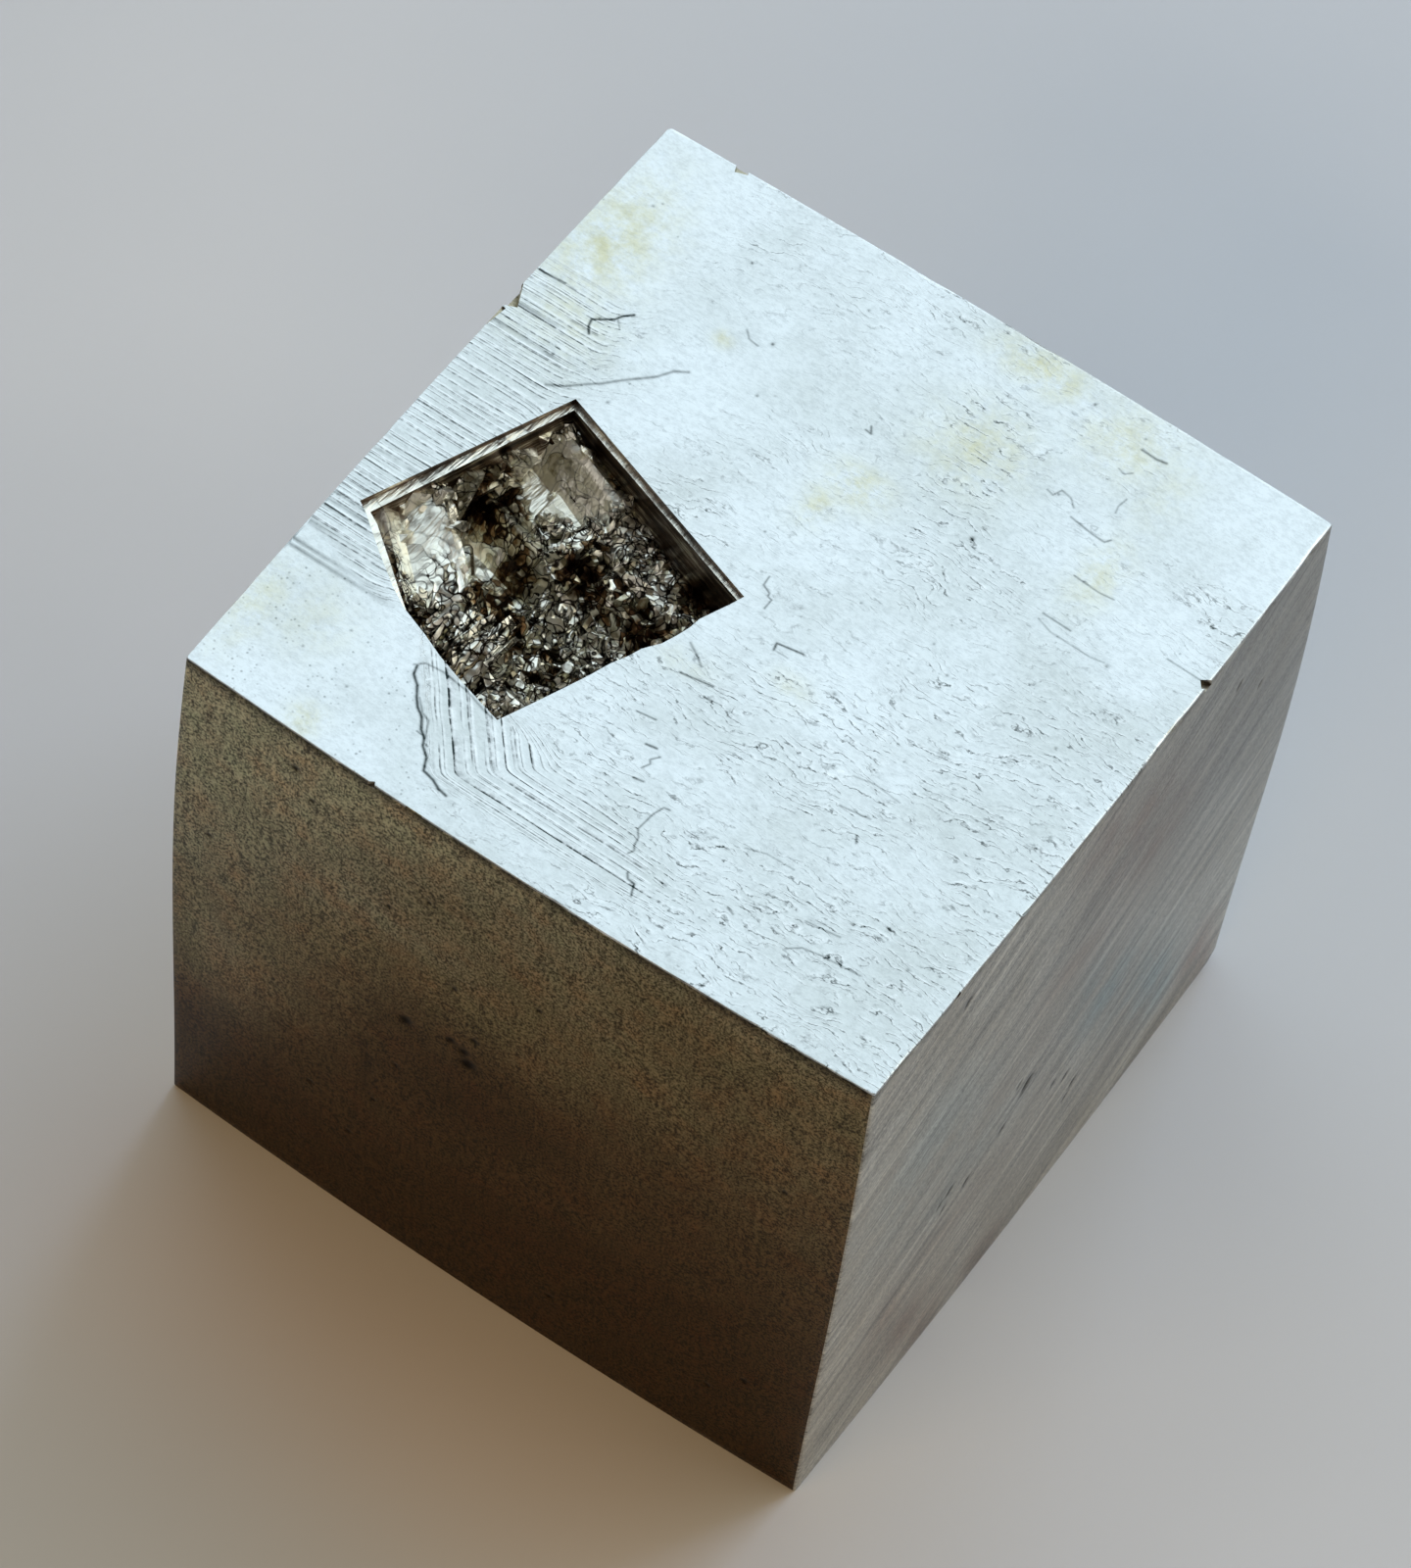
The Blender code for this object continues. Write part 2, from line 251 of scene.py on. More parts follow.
topPits = (
    # across, along, size, darkness
    (6.2, 8.6, 0.28, 1.0), (-8.0, 12.25, 0.2, 0.8), (-16.2, 5.1, 0.22, 0.7), (-12.4, 4.4, 0.18, 0.6),
    (-6.85, 9.2, 0.2, 0.6), (-11.6, 15.7, 0.18, 0.6), (-17.5, 15.6, 0.18, 0.5), (-17.2, 16.0, 0.14, 0.5),
    (-15.6, 8.25, 0.24, 0.8), (-2.0, 2.8, 0.16, 0.6), (4.0, 2.2, 0.14, 0.5), (8.1, 2.4, 0.14, 0.5),
    (9.6, 1.3, 0.18, 0.5), (16.0, 1.0, 0.18, 0.5), (5.9, -2.9, 0.24, 0.5), (4.1, -7.9, 0.16, 0.6),
    (15.3, -12.2, 0.2, 0.6), (13.8, -13.0, 0.18, 0.5), (17.2, -13.5, 0.2, 0.5), (6.6, 19.0, 0.18, 0.7),
    (9.7, 18.8, 0.16, 0.5), (-5.4, 16.9, 0.16, 0.5), (4.8, 15.85, 0.14, 0.6), (8.1, 13.4, 0.2, 0.5),
    (-14.4, -14.0, 0.16, 0.5), (-15.7, -16.1, 0.14, 0.5), (-12.7, -16.7, 0.16, 0.5),
    (-18.1, -16.4, 0.14, 0.5), (0.6, 19.3, 0.14, 0.4), (15.4, 6.4, 0.22, 0.5), (16.9, 12.3, 0.2, 0.4),
    (18.3, 11.4, 0.16, 0.4),
)

topSurface = {
    "swell": (0.03, (9, 8, 1)),         # height and blob size of the slow unevenness
    "ripple": (0.003, (2.6, 1.7, 1)),
    "pitDepth": 0.12,                   # share of a pit's size
}

striations = {
    "end": (-15.6, -12.6),      # across, where the straight lines give way to the others
    "top": (8.6, 10.5),         # along, where they stop
    "rise": (0.9, -16.2, -12.5),    # how far and from where to where they bend up to the socket's corner
    "wobble": 0.05,
    # row and right end of each strong line from the left rim
    "strong": ((-6.95, -16.0), (-8.05, -16.6), (-8.5, -16.8), (-9.0, -16.4), (-10.15, -16.2),
               (-10.35, -16.8), (-11.45, -13.5), (-11.8, -13.6), (5.0, -15.6), (6.55, -16.5)),
    "step": 0.007,
    "width": 0.16,
}

chevrons = {
    "corner": (-6.9, -18.6),    # the nested bends start here
    "slant": (0.77, 0.64),      # across the sloping half of each line
    "ratio": 1.5,               # the sloping halves stand this much further apart
    "spacing": 0.31,
    "rounding": 0.02,
    # they fade in behind the first bend and out at the last one, to the right and towards the socket
    "first": (0.05, 0.4),
    "last": (3.9, 5.2),
    "right": (3.5, 9.0),
    "socket": (-13.9, -12.6),
}

wavyTerraces = {
    "spacing": 0.62,
    "step": 0.0045,
    "share": 0.72,
    # blob size, seed and strength of each wave that bends the lines
    "waves": (((8.0, 4.0, 1), 7, 1.3), ((2.6, 1.3, 1), 8, 0.5), ((1.0, 0.55, 1), 10, 0.25)),
    "calmNoise": ((6.5, 5.0, 1), 12),
}

calmPatches = (
    # across, along, radius across, radius along, how much calmer, start and end of the fade
    (-8, 9, 5, 6.5, 0.75, -0.4, 0.9), (1.8, -10.8, 2.0, 1.1, 0.7, 0, 0.7), (11, -5, 1.6, 1.2, 0.7, 0, 0.7),
)


def chevronField(x, y):
    cornerX, cornerY = chevrons["corner"]
    across, along = chevrons["slant"]
    sloping = (across * (x - cornerX) + along * (y - cornerY)) / chevrons["ratio"]
    level = y - cornerY
    gap = sloping - level
    return 0.5 * (sloping + level - np.sqrt(gap * gap + chevrons["rounding"]))


def chevronZone(x, y):
    field = chevronField(x, y)
    inside = smooth(*chevrons["first"], field) * (1 - smooth(*chevrons["last"], field))
    toSocket = y + 0.25 * (x + 5)
    return inside * (1 - smooth(*chevrons["right"], x)) * (1 - smooth(*chevrons["socket"], toSocket))


def sawtooth(field, spacing):
    # rises in the last fifth of each step and falls gently over the rest
    share = field / spacing % 1.0
    return np.where(share < 0.8, 0.5 - share / 0.8, (share - 0.8) / 0.2 - 0.5)


def growthField(x, y):
    # the growth lines follow equal values of this field: along the face at the left, in nested bends in
    # front of the socket and in waves elsewhere. Returns it with the lines' strength, how wavy they are,
    # and the share of the near left corner, which has none
    flat = np.stack((x, y, np.zeros_like(x)), 1)
    swings = [(noiseAt(flat, size, seed), share) for size, seed, share in wavyTerraces["waves"]]
    zone = chevronZone(x, y)
    straight = 1 - smooth(*striations["end"], x)
    waves = (1 - zone) * (1 - straight)
    bent = chevronField(x, y) + chevrons["corner"][1]
    rise, *riseWay = striations["rise"]
    rising = rise * smooth(*riseWay, x) ** 2 * (y > 2.5)
    field = (1 - zone) * (y - rising) + zone * bent + waves * sum(share * swing for swing, share in swings)
    field += (zone + straight) * striations["wobble"] * swings[1][0]
    calm = 1 - smooth(11.5, 12.6, x) * smooth(12.9, 14.2, y)
    for px, py, wide, tall, share, low, high in calmPatches:
        calm *= 1 - share * smooth(low, high, 1 - np.hypot((x - px) / wide, (y - py) / tall))
    drift = noiseAt(flat, *wavyTerraces["calmNoise"]) + 0.012 * (x - y) - 0.1
    calm *= 0.4 + 0.6 * smooth(-0.22, 0.22, drift)
    nearCorner = 1 - smooth(-12.6, -12.0, y + 0.35 * (x + 13))
    nearCorner *= 1 - smooth(-0.5, 0.4, 0.77 * (x + 6.9) + 0.64 * (y + 18.3))
    strength = straight * (1 - smooth(*striations["top"], y)) + zone + wavyTerraces["share"] * waves * calm
    strength *= 1 - nearCorner
    return field, np.clip(strength, 0, 1), np.clip(waves, 0, 1), nearCorner


def unevenness(flat, surface, seed):
    return sum(surface[name][0] * noiseAt(flat, surface[name][1], seed + later)
               for later, name in enumerate(("swell", "ripple")))


def topRelief(x, y):
    # returns how far each point is moved up (mm) and how dark it is drawn: dirt in the pits and grooves, and
    # painted shade along the growth grooves and cracks
    height = unevenness(np.stack((x, y, np.zeros_like(x)), 1), topSurface, 1)
    dark = np.zeros_like(x)
    for row, end in striations["strong"]:
        reach = 1 - smooth(end - 0.8, end, x)
        groove = np.exp(-((y - row + 0.02 * (x + 17)) / (striations["width"] / 2)) ** 2)
        height -= reach * striations["step"] * groove
        dark = np.maximum(dark, 0.55 * reach * groove)
    field, strength, waves, _ = growthField(x, y)
    spacing = np.where(waves > 0.5, wavyTerraces["spacing"], chevrons["spacing"])
    height += strength * wavyTerraces["step"] * (1 - 0.5 * waves) * sawtooth(field, spacing)
    for line, width, depth, darkness in topLines.values():
        away = lineDistance(x, y, line)
        height -= depth * np.exp(-(away / (width * 0.5)) ** 2)
        dark = np.maximum(dark, darkness * np.exp(-(away / (width * 0.36)) ** 2))
    for px, py, size, darkness in topPits:
        pit = np.exp(-(np.hypot(x - px, y - py) / (size * 0.5)) ** 2)
        height -= topSurface["pitDepth"] * size * pit
        dark = np.maximum(dark, darkness * pit)
    return height, dark


# Growth steps and pits of the upright faces. Places are along the face and above the floor, in mm

frontPits = (
    (-5.4, 22.4, 0.6), (-1.9, 23.0, 0.5), (-1.6, 22.1, 0.7), (-2.7, 23.3, 0.45), (-1.4, 24.6, 0.35),
    (-12.9, 37.7, 0.35), (-11.8, 36.0, 0.25), (-4.7, 34.0, 0.25), (-6.9, 31.5, 0.25), (2.0, 30.9, 0.25),
    (-2.8, 28.1, 0.25), (16.3, 28.3, 0.3), (-17.7, 27.1, 0.25), (-5.8, 17.5, 0.25), (-7.0, 12.7, 0.25),
    (-10.9, 10.3, 0.25), (-8.4, 7.9, 0.25), (15.9, 8.2, 0.3), (4.4, 4.6, 0.25), (13.9, 5.6, 0.25),
)
frontScratches = (
    (((-3.1, 29.0), (-3.2, 25.5)), 0.2, 0.45), (((-7.6, 17.0), (-7.5, 13.0)), 0.2, 0.5),
)
rightPits = (
    (-3.0, 18.6, 0.5), (-9.6, 17.0, 0.35), (-10.4, 16.7, 0.3), (-4.8, 16.5, 0.3), (-7.8, 15.4, 0.3),
    (2.0, 12.3, 0.3), (3.3, 9.9, 0.3), (2.8, 9.0, 0.25), (12.5, 35.8, 0.3), (15.2, 32.7, 0.25),
    (-12.0, 38.4, 0.3), (-9.9, 15.6, 0.25), (-4.0, 19.8, 0.25), (0.6, 13.6, 0.25),
)
rightSteps = (
    # line, height of the step
    (((-15.5, 11.2), (-11.5, 13), (-10.8, 13.8), (-9, 12.8)), 0.02),
)
uprightFaces = {
    # the axis that each looks along and which way, its noise seed, its pits and how wide they are for
    # their length, its other marks, and how dark the painted shade just below its top rim is
    "front": {"axis": 1, "sign": -1, "seed": 21, "pits": frontPits, "slimness": 0.8,
              "scratches": frontScratches, "steps": (), "paintedRimShade": 0.85},
    "right": {"axis": 0, "sign": 1, "seed": 31, "pits": rightPits, "slimness": 0.4,
              "scratches": (), "steps": rightSteps, "paintedRimShade": 0.5},
    "back": {"axis": 1, "sign": 1, "seed": 41, "pits": (), "slimness": 1, "scratches": (), "steps": ()},
    "left": {"axis": 0, "sign": -1, "seed": 51, "pits": (), "slimness": 1, "scratches": (), "steps": ()},
}

uprightSurface = {
    "swell": (0.035, (8, 11, 1)),
    "ripple": (0.012, (2.5, 4, 1)),
    "scratchDepth": 0.03,
    "pitDepth": 0.2,
}


def pitDistance(along, up, px, py, slimness):
    # distance from a pit that is drawn out along the growth lines, up and to the right
    length = 0.7 * (along - px + up - py)
    width = 0.7 * (up - py - along + px)
    return np.hypot(length * slimness, width)


def sideRelief(along, up, side):
    # returns how far each point is moved outwards (mm) and how dark it is
    height = unevenness(np.stack((along, up, np.zeros_like(along)), 1), uprightSurface, side["seed"])
    dark = np.zeros_like(along)
    for line, width, darkness in side["scratches"]:
        groove = np.exp(-(lineDistance(along, up, line) / (width * 0.6)) ** 2)
        height -= uprightSurface["scratchDepth"] * groove
        dark = np.maximum(dark, darkness * groove)
    for line, rise in side["steps"]:
        near = np.exp(-(lineDistance(along, up, line) / 0.45) ** 2)
        height -= rise * near
        dark = np.maximum(dark, 0.25 * near)
    for px, py, size in side["pits"]:
        hollow = np.exp(-(pitDistance(along, up, px, py, side["slimness"]) / (size * 0.55)) ** 2)
        height -= uprightSurface["pitDepth"] * size * hollow
        dark = np.maximum(dark, np.clip(1.5 * hollow, 0, 0.97))
    return height, dark


def ownPoints(points, side, slack):
    axis = side["axis"]
    half = (block["width"], block["depth"])[axis] / 2
    return (points[:, axis] - axis * block["backShift"]) * side["sign"] > half - slack


def faceMiddles(crystal):
    middles = np.zeros(len(crystal.data.polygons) * 3)
    crystal.data.polygons.foreach_get("center", middles)
    return middles.reshape(-1, 3) / mm


def refineAlongLines(crystal):
    # smaller squares beside the cracks and pits, so that they come out thin and clean
    for reach in block["refineReach"]:
        middles = faceMiddles(crystal)
        x, y, z = middles.T
        near = np.full(len(middles), 1e9)
        top = z > block["height"] - 0.01
        for line, *_ in topLines.values():
            near[top] = np.minimum(near[top], lineDistance(x[top], y[top], line))
        for px, py, *_ in topPits:
            near[top] = np.minimum(near[top], np.hypot(x[top] - px, y[top] - py))
        for side in uprightFaces.values():
            own = ownPoints(middles, side, 0.02)
            along = middles[own, 1 - side["axis"]]
            for px, py, size in side["pits"]:
                away = pitDistance(along, z[own], px, py, side["slimness"]) - size / 2
                near[own] = np.minimum(near[own], away)
        wanted = set(np.nonzero(near < reach)[0].tolist())
        selectFaces(crystal, lambda square: square.index in wanted)
        bpy.ops.mesh.subdivide(number_cuts=1)
        bpy.ops.object.mode_set(mode="OBJECT")


def carveBlock(crystal):
    writePoints(crystal, swellBlock(readPoints(crystal)))
    refineAlongLines(crystal)
    points = readPoints(crystal)
    x, y, z = points.T
    top = z > block["height"] - 0.01
    height, _ = topRelief(x[top], y[top])
    halfX = block["width"] / 2
    halfY = block["depth"] / 2
    inset = np.minimum(halfX - np.abs(x[top]), halfY - np.abs(y[top] - block["backShift"]))
    points[top, 2] += height * smooth(-0.2, 0.5, inset) - block["topLower"]
    rim = smooth(0.0, 1.2, z) * (1 - smooth(block["height"] - 1.2, block["height"] - 0.1, z))
    for side in uprightFaces.values():
        axis = side["axis"]
        own = ownPoints(points, side, 0.02)
        along = points[own, 1 - axis]
        height, _ = sideRelief(along, points[own, 2], side)
        calm = rim[own] * smooth(0.1, 1.2, (halfY, halfX)[axis] - np.abs(along))
        points[own, axis] += side["sign"] * height * calm
    # tiny bites out of the worn edge round the top face
    edge = (z > block["height"] - 0.3) & ~top
    bites = block["bites"]
    speckle = noiseAt(points[edge], (bites["size"],) * 3, bites["seed"])
    bite = np.clip(speckle - bites["rarity"], 0, 1) * bites["depth"]
    middle = np.array((0, 0, block["height"] - 6))
    way = middle - points[edge]
    points[edge] += way / np.linalg.norm(way, axis=1)[:, None] * bite[:, None]
    writePoints(crystal, points)


# The socket: a shallow rim ledge round a deeper well, with broken masses left on its floor

socket = {
    "farLeft": Vector((-13.75, 3.6)),
    "farRight": Vector((-0.65, -0.95)),
    "nearLeft": Vector((-18.5, -7.7)),
    "ledgeDepth": 0.4,
    "ledgeWidth": 0.4,
    "depth": 5.8,
    "overshoot": 2.0,
    "massRoot": 7.8,
    "stoneWear": 0.06,          # share of a stone's size
}

mouth = (
    # corner of the mouth and its share of the ledge
    ((-13.75, 3.6), 1.0), ((-0.65, -0.95), 0.6), ((-0.95, -1.75), 0.3), ((-1.3, -2.55), 0.1),
    ((-1.62, -3.3), 0.0), ((-1.72, -4.0), 0.0), ((-1.95, -4.75), 0.0), ((-2.25, -5.55), 0.0),
    ((-2.85, -6.4), 0.0), ((-3.1, -7.1), 0.0), ((-3.55, -8.0), 0.0), ((-3.95, -9.15), 0.0),
    ((-4.5, -10.5), 0.0), ((-5.15, -12.05), 0.0), ((-5.95, -13.9), 0.0), ((-6.6, -13.72), 0.0),
    ((-8.6, -13.15), 0.0), ((-10.2, -12.62), 0.1), ((-11.5, -12.05), 0.2), ((-12.4, -11.72), 0.3),
    ((-13.25, -11.4), 0.45), ((-14.3, -10.78), 0.9), ((-16.0, -9.55), 1.4), ((-17.85, -8.1), 1.7),
    ((-18.5, -7.7), 1.6),
)

brokenMasses = {
    # across, downward, length, width, depth, tilts, turn
    "pocketFloor": (2.4, 2.0, 6.6, 5.4, 3.6, 3, 2, 0),
    "pocketSlope": (2.4, 0.0, 6.4, 2.4, 2.2, -38, 2, 0),
    "pocketStep": (3.9, 2.9, 2.6, 1.9, 3.4, -9, 8, 21),
    "pocketSide": (0.1, 3.0, 1.5, 6.4, 2.7, 0, 27, 0),
    "crest": (5.5, 1.8, 1.0, 5.8, 2.8, -6, -10, 5),
    "crestFoot": (6.3, 3.9, 1.6, 2.2, 3.9, -32, 14, 10),
    "rightShelf": (10.0, 0.9, 8.6, 3.6, 3.4, -6, 5, 3),
    "rightShelfStep": (10.4, 1.9, 3.8, 1.8, 3.6, -14, 7, -8),
    "rightScarp": (10.2, 2.8, 9.0, 1.5, 4.0, -36, 3, 3),
    "scarp": (2.2, 4.6, 6.4, 1.7, 4.1, -36, 0, 4),
    "scarpRoot": (6.8, 3.8, 15.6, 2.8, 5.0, 0, 0, 0),
    "leftShelf": (2.1, 11.2, 8.4, 5.6, 1.9, 13, 7, -24),
    "leftShelfStep": (4.6, 10.2, 3.4, 2.4, 2.3, 5, 15, -34),
    "leftShelfRise": (2.4, 12.5, 6.8, 1.2, 1.1, 34, 8, -27),
    "fibreWedge": (8.3, 12.7, 4.2, 4.4, 2.6, 19, 3, 4),
    "lowMass": (11.5, 11.1, 3.6, 2.8, 4.3, 10, -9, 12),
    "nearCorner": (12.7, 13.2, 4.6, 4.2, 3.1, 18, -12, 8),
    "middleLump": (7.6, 5.9, 2.4, 1.8, 5.0, 9, 11, 28),
}

crumbs = {
    "count": 30,
    "seed": 11,
    # the ranges of a crumb's across, downward, length, width, depth, tilts and turn
    "row": ((5.6, 13.4), (4.2, 12.6), (0.7, 1.7), (0.7, 1.7), (4.95, 5.5), (-28, 28), (-28, 28), (0, 90)),
}

wallLumps = (
    # downward, size, depth, roll, turn
    (0.9, 1.3, 1.5, -8, 10), (1.9, 1.1, 1.1, 14, 35), (2.9, 1.5, 1.7, -5, 62), (4.0, 1.2, 1.2, 20, 20),
    (4.9, 1.5, 1.6, 8, 48), (6.0, 1.3, 1.3, -12, 75), (7.0, 1.4, 1.9, 24, 15), (7.9, 1.3, 1.3, 10, 50),
    (9.0, 1.4, 1.0, -15, 80), (10.1, 1.2, 0.9, 18, 30), (11.2, 1.1, 0.9, 5, 60),
)

chips = {
    # middle of the cut, its size, its turn and lean
    "leftRimNotch": ((-20.0, 6.8, 40.6), (1.1, 1.5, 1.3), 24, 12),
    "leftRimGraze": ((-20.05, 5.3, 40.7), (0.7, 1.4, 0.6), -8, 6),
    "frontRimNick": ((-8.6, -20.6, 40.6), (0.62, 0.6, 0.7), 32, 0),
    "frontRimGraze": ((-10.6, -20.7, 40.7), (1.3, 0.6, 0.5), 6, 0),
    "backRimNick": ((-15.3, 20.3, 40.7), (0.7, 0.7, 0.8), 20, 0),
    "rightRimNick": ((19.8, 8.5, 40.7), (0.6, 0.5, 1.0), 38, 0),
    "backCorner": ((-19.9, 20.4, 40.2), (0.9, 0.9, 3.0), 45, 0),
    "footCorner": ((20.1, 20.5, -0.3), (2.2, 2.2, 3.4), 45, 42),
    "frontTick": ((-7.9, -20.72, 40.65), (0.25, 0.4, 0.4), 12, 0),
    "frontTickB": ((-4.1, -20.72, 40.62), (0.5, 0.3, 0.3), 20, 0),
    "frontTickC": ((-3.8, -20.7, 40.65), (0.15, 0.4, 0.4), 0, 0),
    "backTick": ((-13.6, 20.5, 40.7), (0.5, 0.3, 0.4), 8, 0),
    "backTickB": ((11.2, 20.6, 40.7), (0.9, 0.35, 0.4), 4, 0),
    "rightTick": ((19.95, -13.4, 40.65), (0.3, 0.9, 0.5), 6, 0),
    "rightTickB": ((19.97, -7.4, 40.66), (0.3, 0.7, 0.4), -5, 0),
}


def socketWays():
    # directions across and down the socket, from its far left corner
    return [(socket[end] - socket["farLeft"]).normalized() for end in ("farRight", "nearLeft")]


def inSocket(across, downward, depth):
    farWay, leftWay = socketWays()
    place = socket["farLeft"] + farWay * across + leftWay * downward
    return Vector((place.x, place.y, block["height"] - depth)) * mm


def socketTurn():
    farWall = socket["farRight"] - socket["farLeft"]
    return atan2(farWall.y, farWall.x)


def mouthPrism(name, ledge, depth):
    # a disc with one corner for each corner of the mouth, set out as listed and extruded down
    middle = sum((Vector(corner) for corner, _ in mouth), Vector((0, 0))) / len(mouth)
    deselectAll()
    bpy.ops.mesh.primitive_circle_add(vertices=len(mouth), fill_type="NGON")
    prism = bpy.context.object
    prism.name = name
    for vertex, (corner, share) in zip(prism.data.vertices, mouth):
        corner = Vector(corner)
        corner += (middle - corner).normalized() * ledge * share
        vertex.co = Vector((corner.x, corner.y, block["height"] - depth)) * mm
    makeActive(prism)
    bpy.ops.object.mode_set(mode="EDIT")
    bpy.ops.mesh.select_all(action="SELECT")
    lift = (depth + socket["overshoot"]) * mm
    bpy.ops.mesh.extrude_region_move(TRANSFORM_OT_translate={"value": (0, 0, lift)})
    bpy.ops.mesh.select_all(action="SELECT")
    bpy.ops.mesh.normals_make_consistent(inside=False)
    bpy.ops.object.mode_set(mode="OBJECT")
    return prism


def makeBlockOfStone(bevel):
    # one broken block, modelled once and copied for every mass and chip
    deselectAll()
    bpy.ops.mesh.primitive_cube_add(size=1)
    stone = bpy.context.object
    if bevel:
        worn = stone.modifiers.new("worn", "BEVEL")
        worn.width = bevel
        worn.segments = 1
        applyModifiers(stone)
    return stone


def copyAt(master, name, place, size):
    made = bpy.data.objects.new(name, master.data.copy())
    bpy.context.scene.collection.objects.link(made)
    made.data.transform(place @ Matrix.Diagonal((*(Vector(size) * mm), 1)))
    return made


def standingMass(master, name, row):
    across, downward, length, width, depth, tiltLong, tiltWide, turn = row
    tall = socket["massRoot"] - depth
    place = Matrix.Translation(inSocket(across, downward, depth))
    place = place @ Matrix.Rotation(socketTurn() + radians(turn), 4, "Z")
    place = place @ Matrix.Rotation(radians(tiltLong), 4, "X") @ Matrix.Rotation(radians(tiltWide), 4, "Y")
    place = place @ Matrix.Translation((0, 0, -tall / 2 * mm))
    return copyAt(master, name, place, (length, width, tall))


# Splinters: small sharp flakes all over the broken floor, thinner and longer in the fibrous wedge

splinters = {
    "count": 620,
    "seed": 23,
    "size": (0.3, 0.95),
    "sunk": 0.35,
    "tilt": 0.75,
    "field": ((-0.3, 14.2), (-0.2, 15.0)),      # across and down the socket
    "fibres": ((6.4, 10.6), (10.4, 14.8)),      # here they are long, thin and almost parallel
    # place and direction of the cuts that shape a flake from a cube
    "cuts": (((0, 0, 0.34), (0.5, 0.2, 1)), ((0.28, 0, 0), (1, 0.35, 0.3)),
             ((0, -0.3, 0), (-0.3, -1, 0.45))),
    # across, downward, radius, share of the splinters that is left out over smooth facets
    "calm": ((2.4, 6.0, 2.1, 0.97), (4.4, 7.2, 1.9, 0.92), (0.4, 5.6, 1.2, 0.9), (2.2, 2.2, 2.2, 0.96),
             (4.0, 1.4, 1.4, 0.9), (1.2, 10.2, 1.9, 0.95), (3.2, 11.6, 1.9, 0.95), (4.0, 9.4, 1.4, 0.92),
             (5.5, 11.2, 1.3, 0.85), (9.3, 1.2, 1.5, 0.5)),
}


def makeSplinter():
    # a flake with a slanting top and one broken-off side
    deselectAll()
    bpy.ops.mesh.primitive_cube_add(size=1)
    flake = bpy.context.object
    bpy.ops.object.mode_set(mode="EDIT")
    for place, way in splinters["cuts"]:
        bpy.ops.mesh.select_all(action="SELECT")
        bpy.ops.mesh.bisect(plane_co=place, plane_no=way, use_fill=True, clear_outer=True)
    bpy.ops.mesh.select_all(action="SELECT")
    bpy.ops.mesh.normals_make_consistent(inside=False)
    bpy.ops.object.mode_set(mode="OBJECT")
    return flake


def scatterSplinters(well):
    chance = random.Random(splinters["seed"])
    flake = makeSplinter()
    floor = BVHTree.FromPolygons([v.co.copy() for v in well.data.vertices],
                                 [tuple(p.vertices) for p in well.data.polygons])
    made = []
    remaining = splinters["count"]
    while remaining:
        across, downward = (chance.uniform(*ends) for ends in splinters["field"])
        size = chance.uniform(*splinters["size"]) ** 1.2
        skip = chance.random()
        lean = Euler([chance.uniform(-1, 1) * splinters["tilt"], chance.uniform(-1, 1) * splinters["tilt"],
                      chance.uniform(0, 2 * pi)])
        if any((across - px) ** 2 + (downward - py) ** 2 < radius ** 2 and skip < share
               for px, py, radius, share in splinters["calm"]):
            remaining -= 1
            continue
        hit = floor.ray_cast(inSocket(across, downward, 0.2), Vector((0, 0, -1)))[0]
        if hit is None:
            continue
        remaining -= 1
        shape = Vector((size, size * chance.uniform(0.6, 1.2), size * chance.uniform(0.7, 1.3)))
        if all(low < at < high for (low, high), at in zip(splinters["fibres"], (across, downward))):
            shape = Vector((size * 0.45, size * 3.2, size * 0.8))
            sway = chance.uniform(-0.8, 0.8)
            lean = Euler((0.25, sway, socketTurn() + 0.12 + chance.uniform(-0.25, 0.25)))
        place = Matrix.Translation(hit + Vector((0, 0, (0.5 - splinters["sunk"]) * shape.z * mm * 0.6)))
        made.append(copyAt(flake, "splinter", place @ lean.to_matrix().to_4x4(), shape))
    bpy.data.objects.remove(flake, do_unlink=True)
    return made


def makeSocketCutter():
    stone = makeBlockOfStone(socket["stoneWear"])
    masses = [standingMass(stone, name, row) for name, row in brokenMasses.items()]
    for downward, size, depth, roll, turn in wallLumps:
        row = (0.15, downward, size, size * 0.9, depth, roll, 28, turn)
        masses.append(standingMass(stone, "wallLump", row))
    chance = random.Random(crumbs["seed"])
    for _ in range(crumbs["count"]):
        masses.append(standingMass(stone, "crumb", [chance.uniform(*ends) for ends in crumbs["row"]]))
    bpy.data.objects.remove(stone, do_unlink=True)
    well = mouthPrism("socketWell", socket["ledgeWidth"], socket["depth"])
    cutAway(well, masses)
    print("well cut round the broken masses:", len(well.data.polygons), "faces")
    cutAway(well, scatterSplinters(well))
    print("splinters left on the socket floor:", len(well.data.polygons), "faces")
    return well


def makeChips():
    plain = makeBlockOfStone(0)
    made = []
    for name, (middle, size, turn, lean) in chips.items():
        place = Matrix.Translation(Vector(middle) * mm) @ Matrix.Rotation(radians(turn), 4, "Z")
        made.append(copyAt(plain, name, place @ Matrix.Rotation(radians(lean), 4, "Y"), size))
    bpy.data.objects.remove(plain, do_unlink=True)
    return made
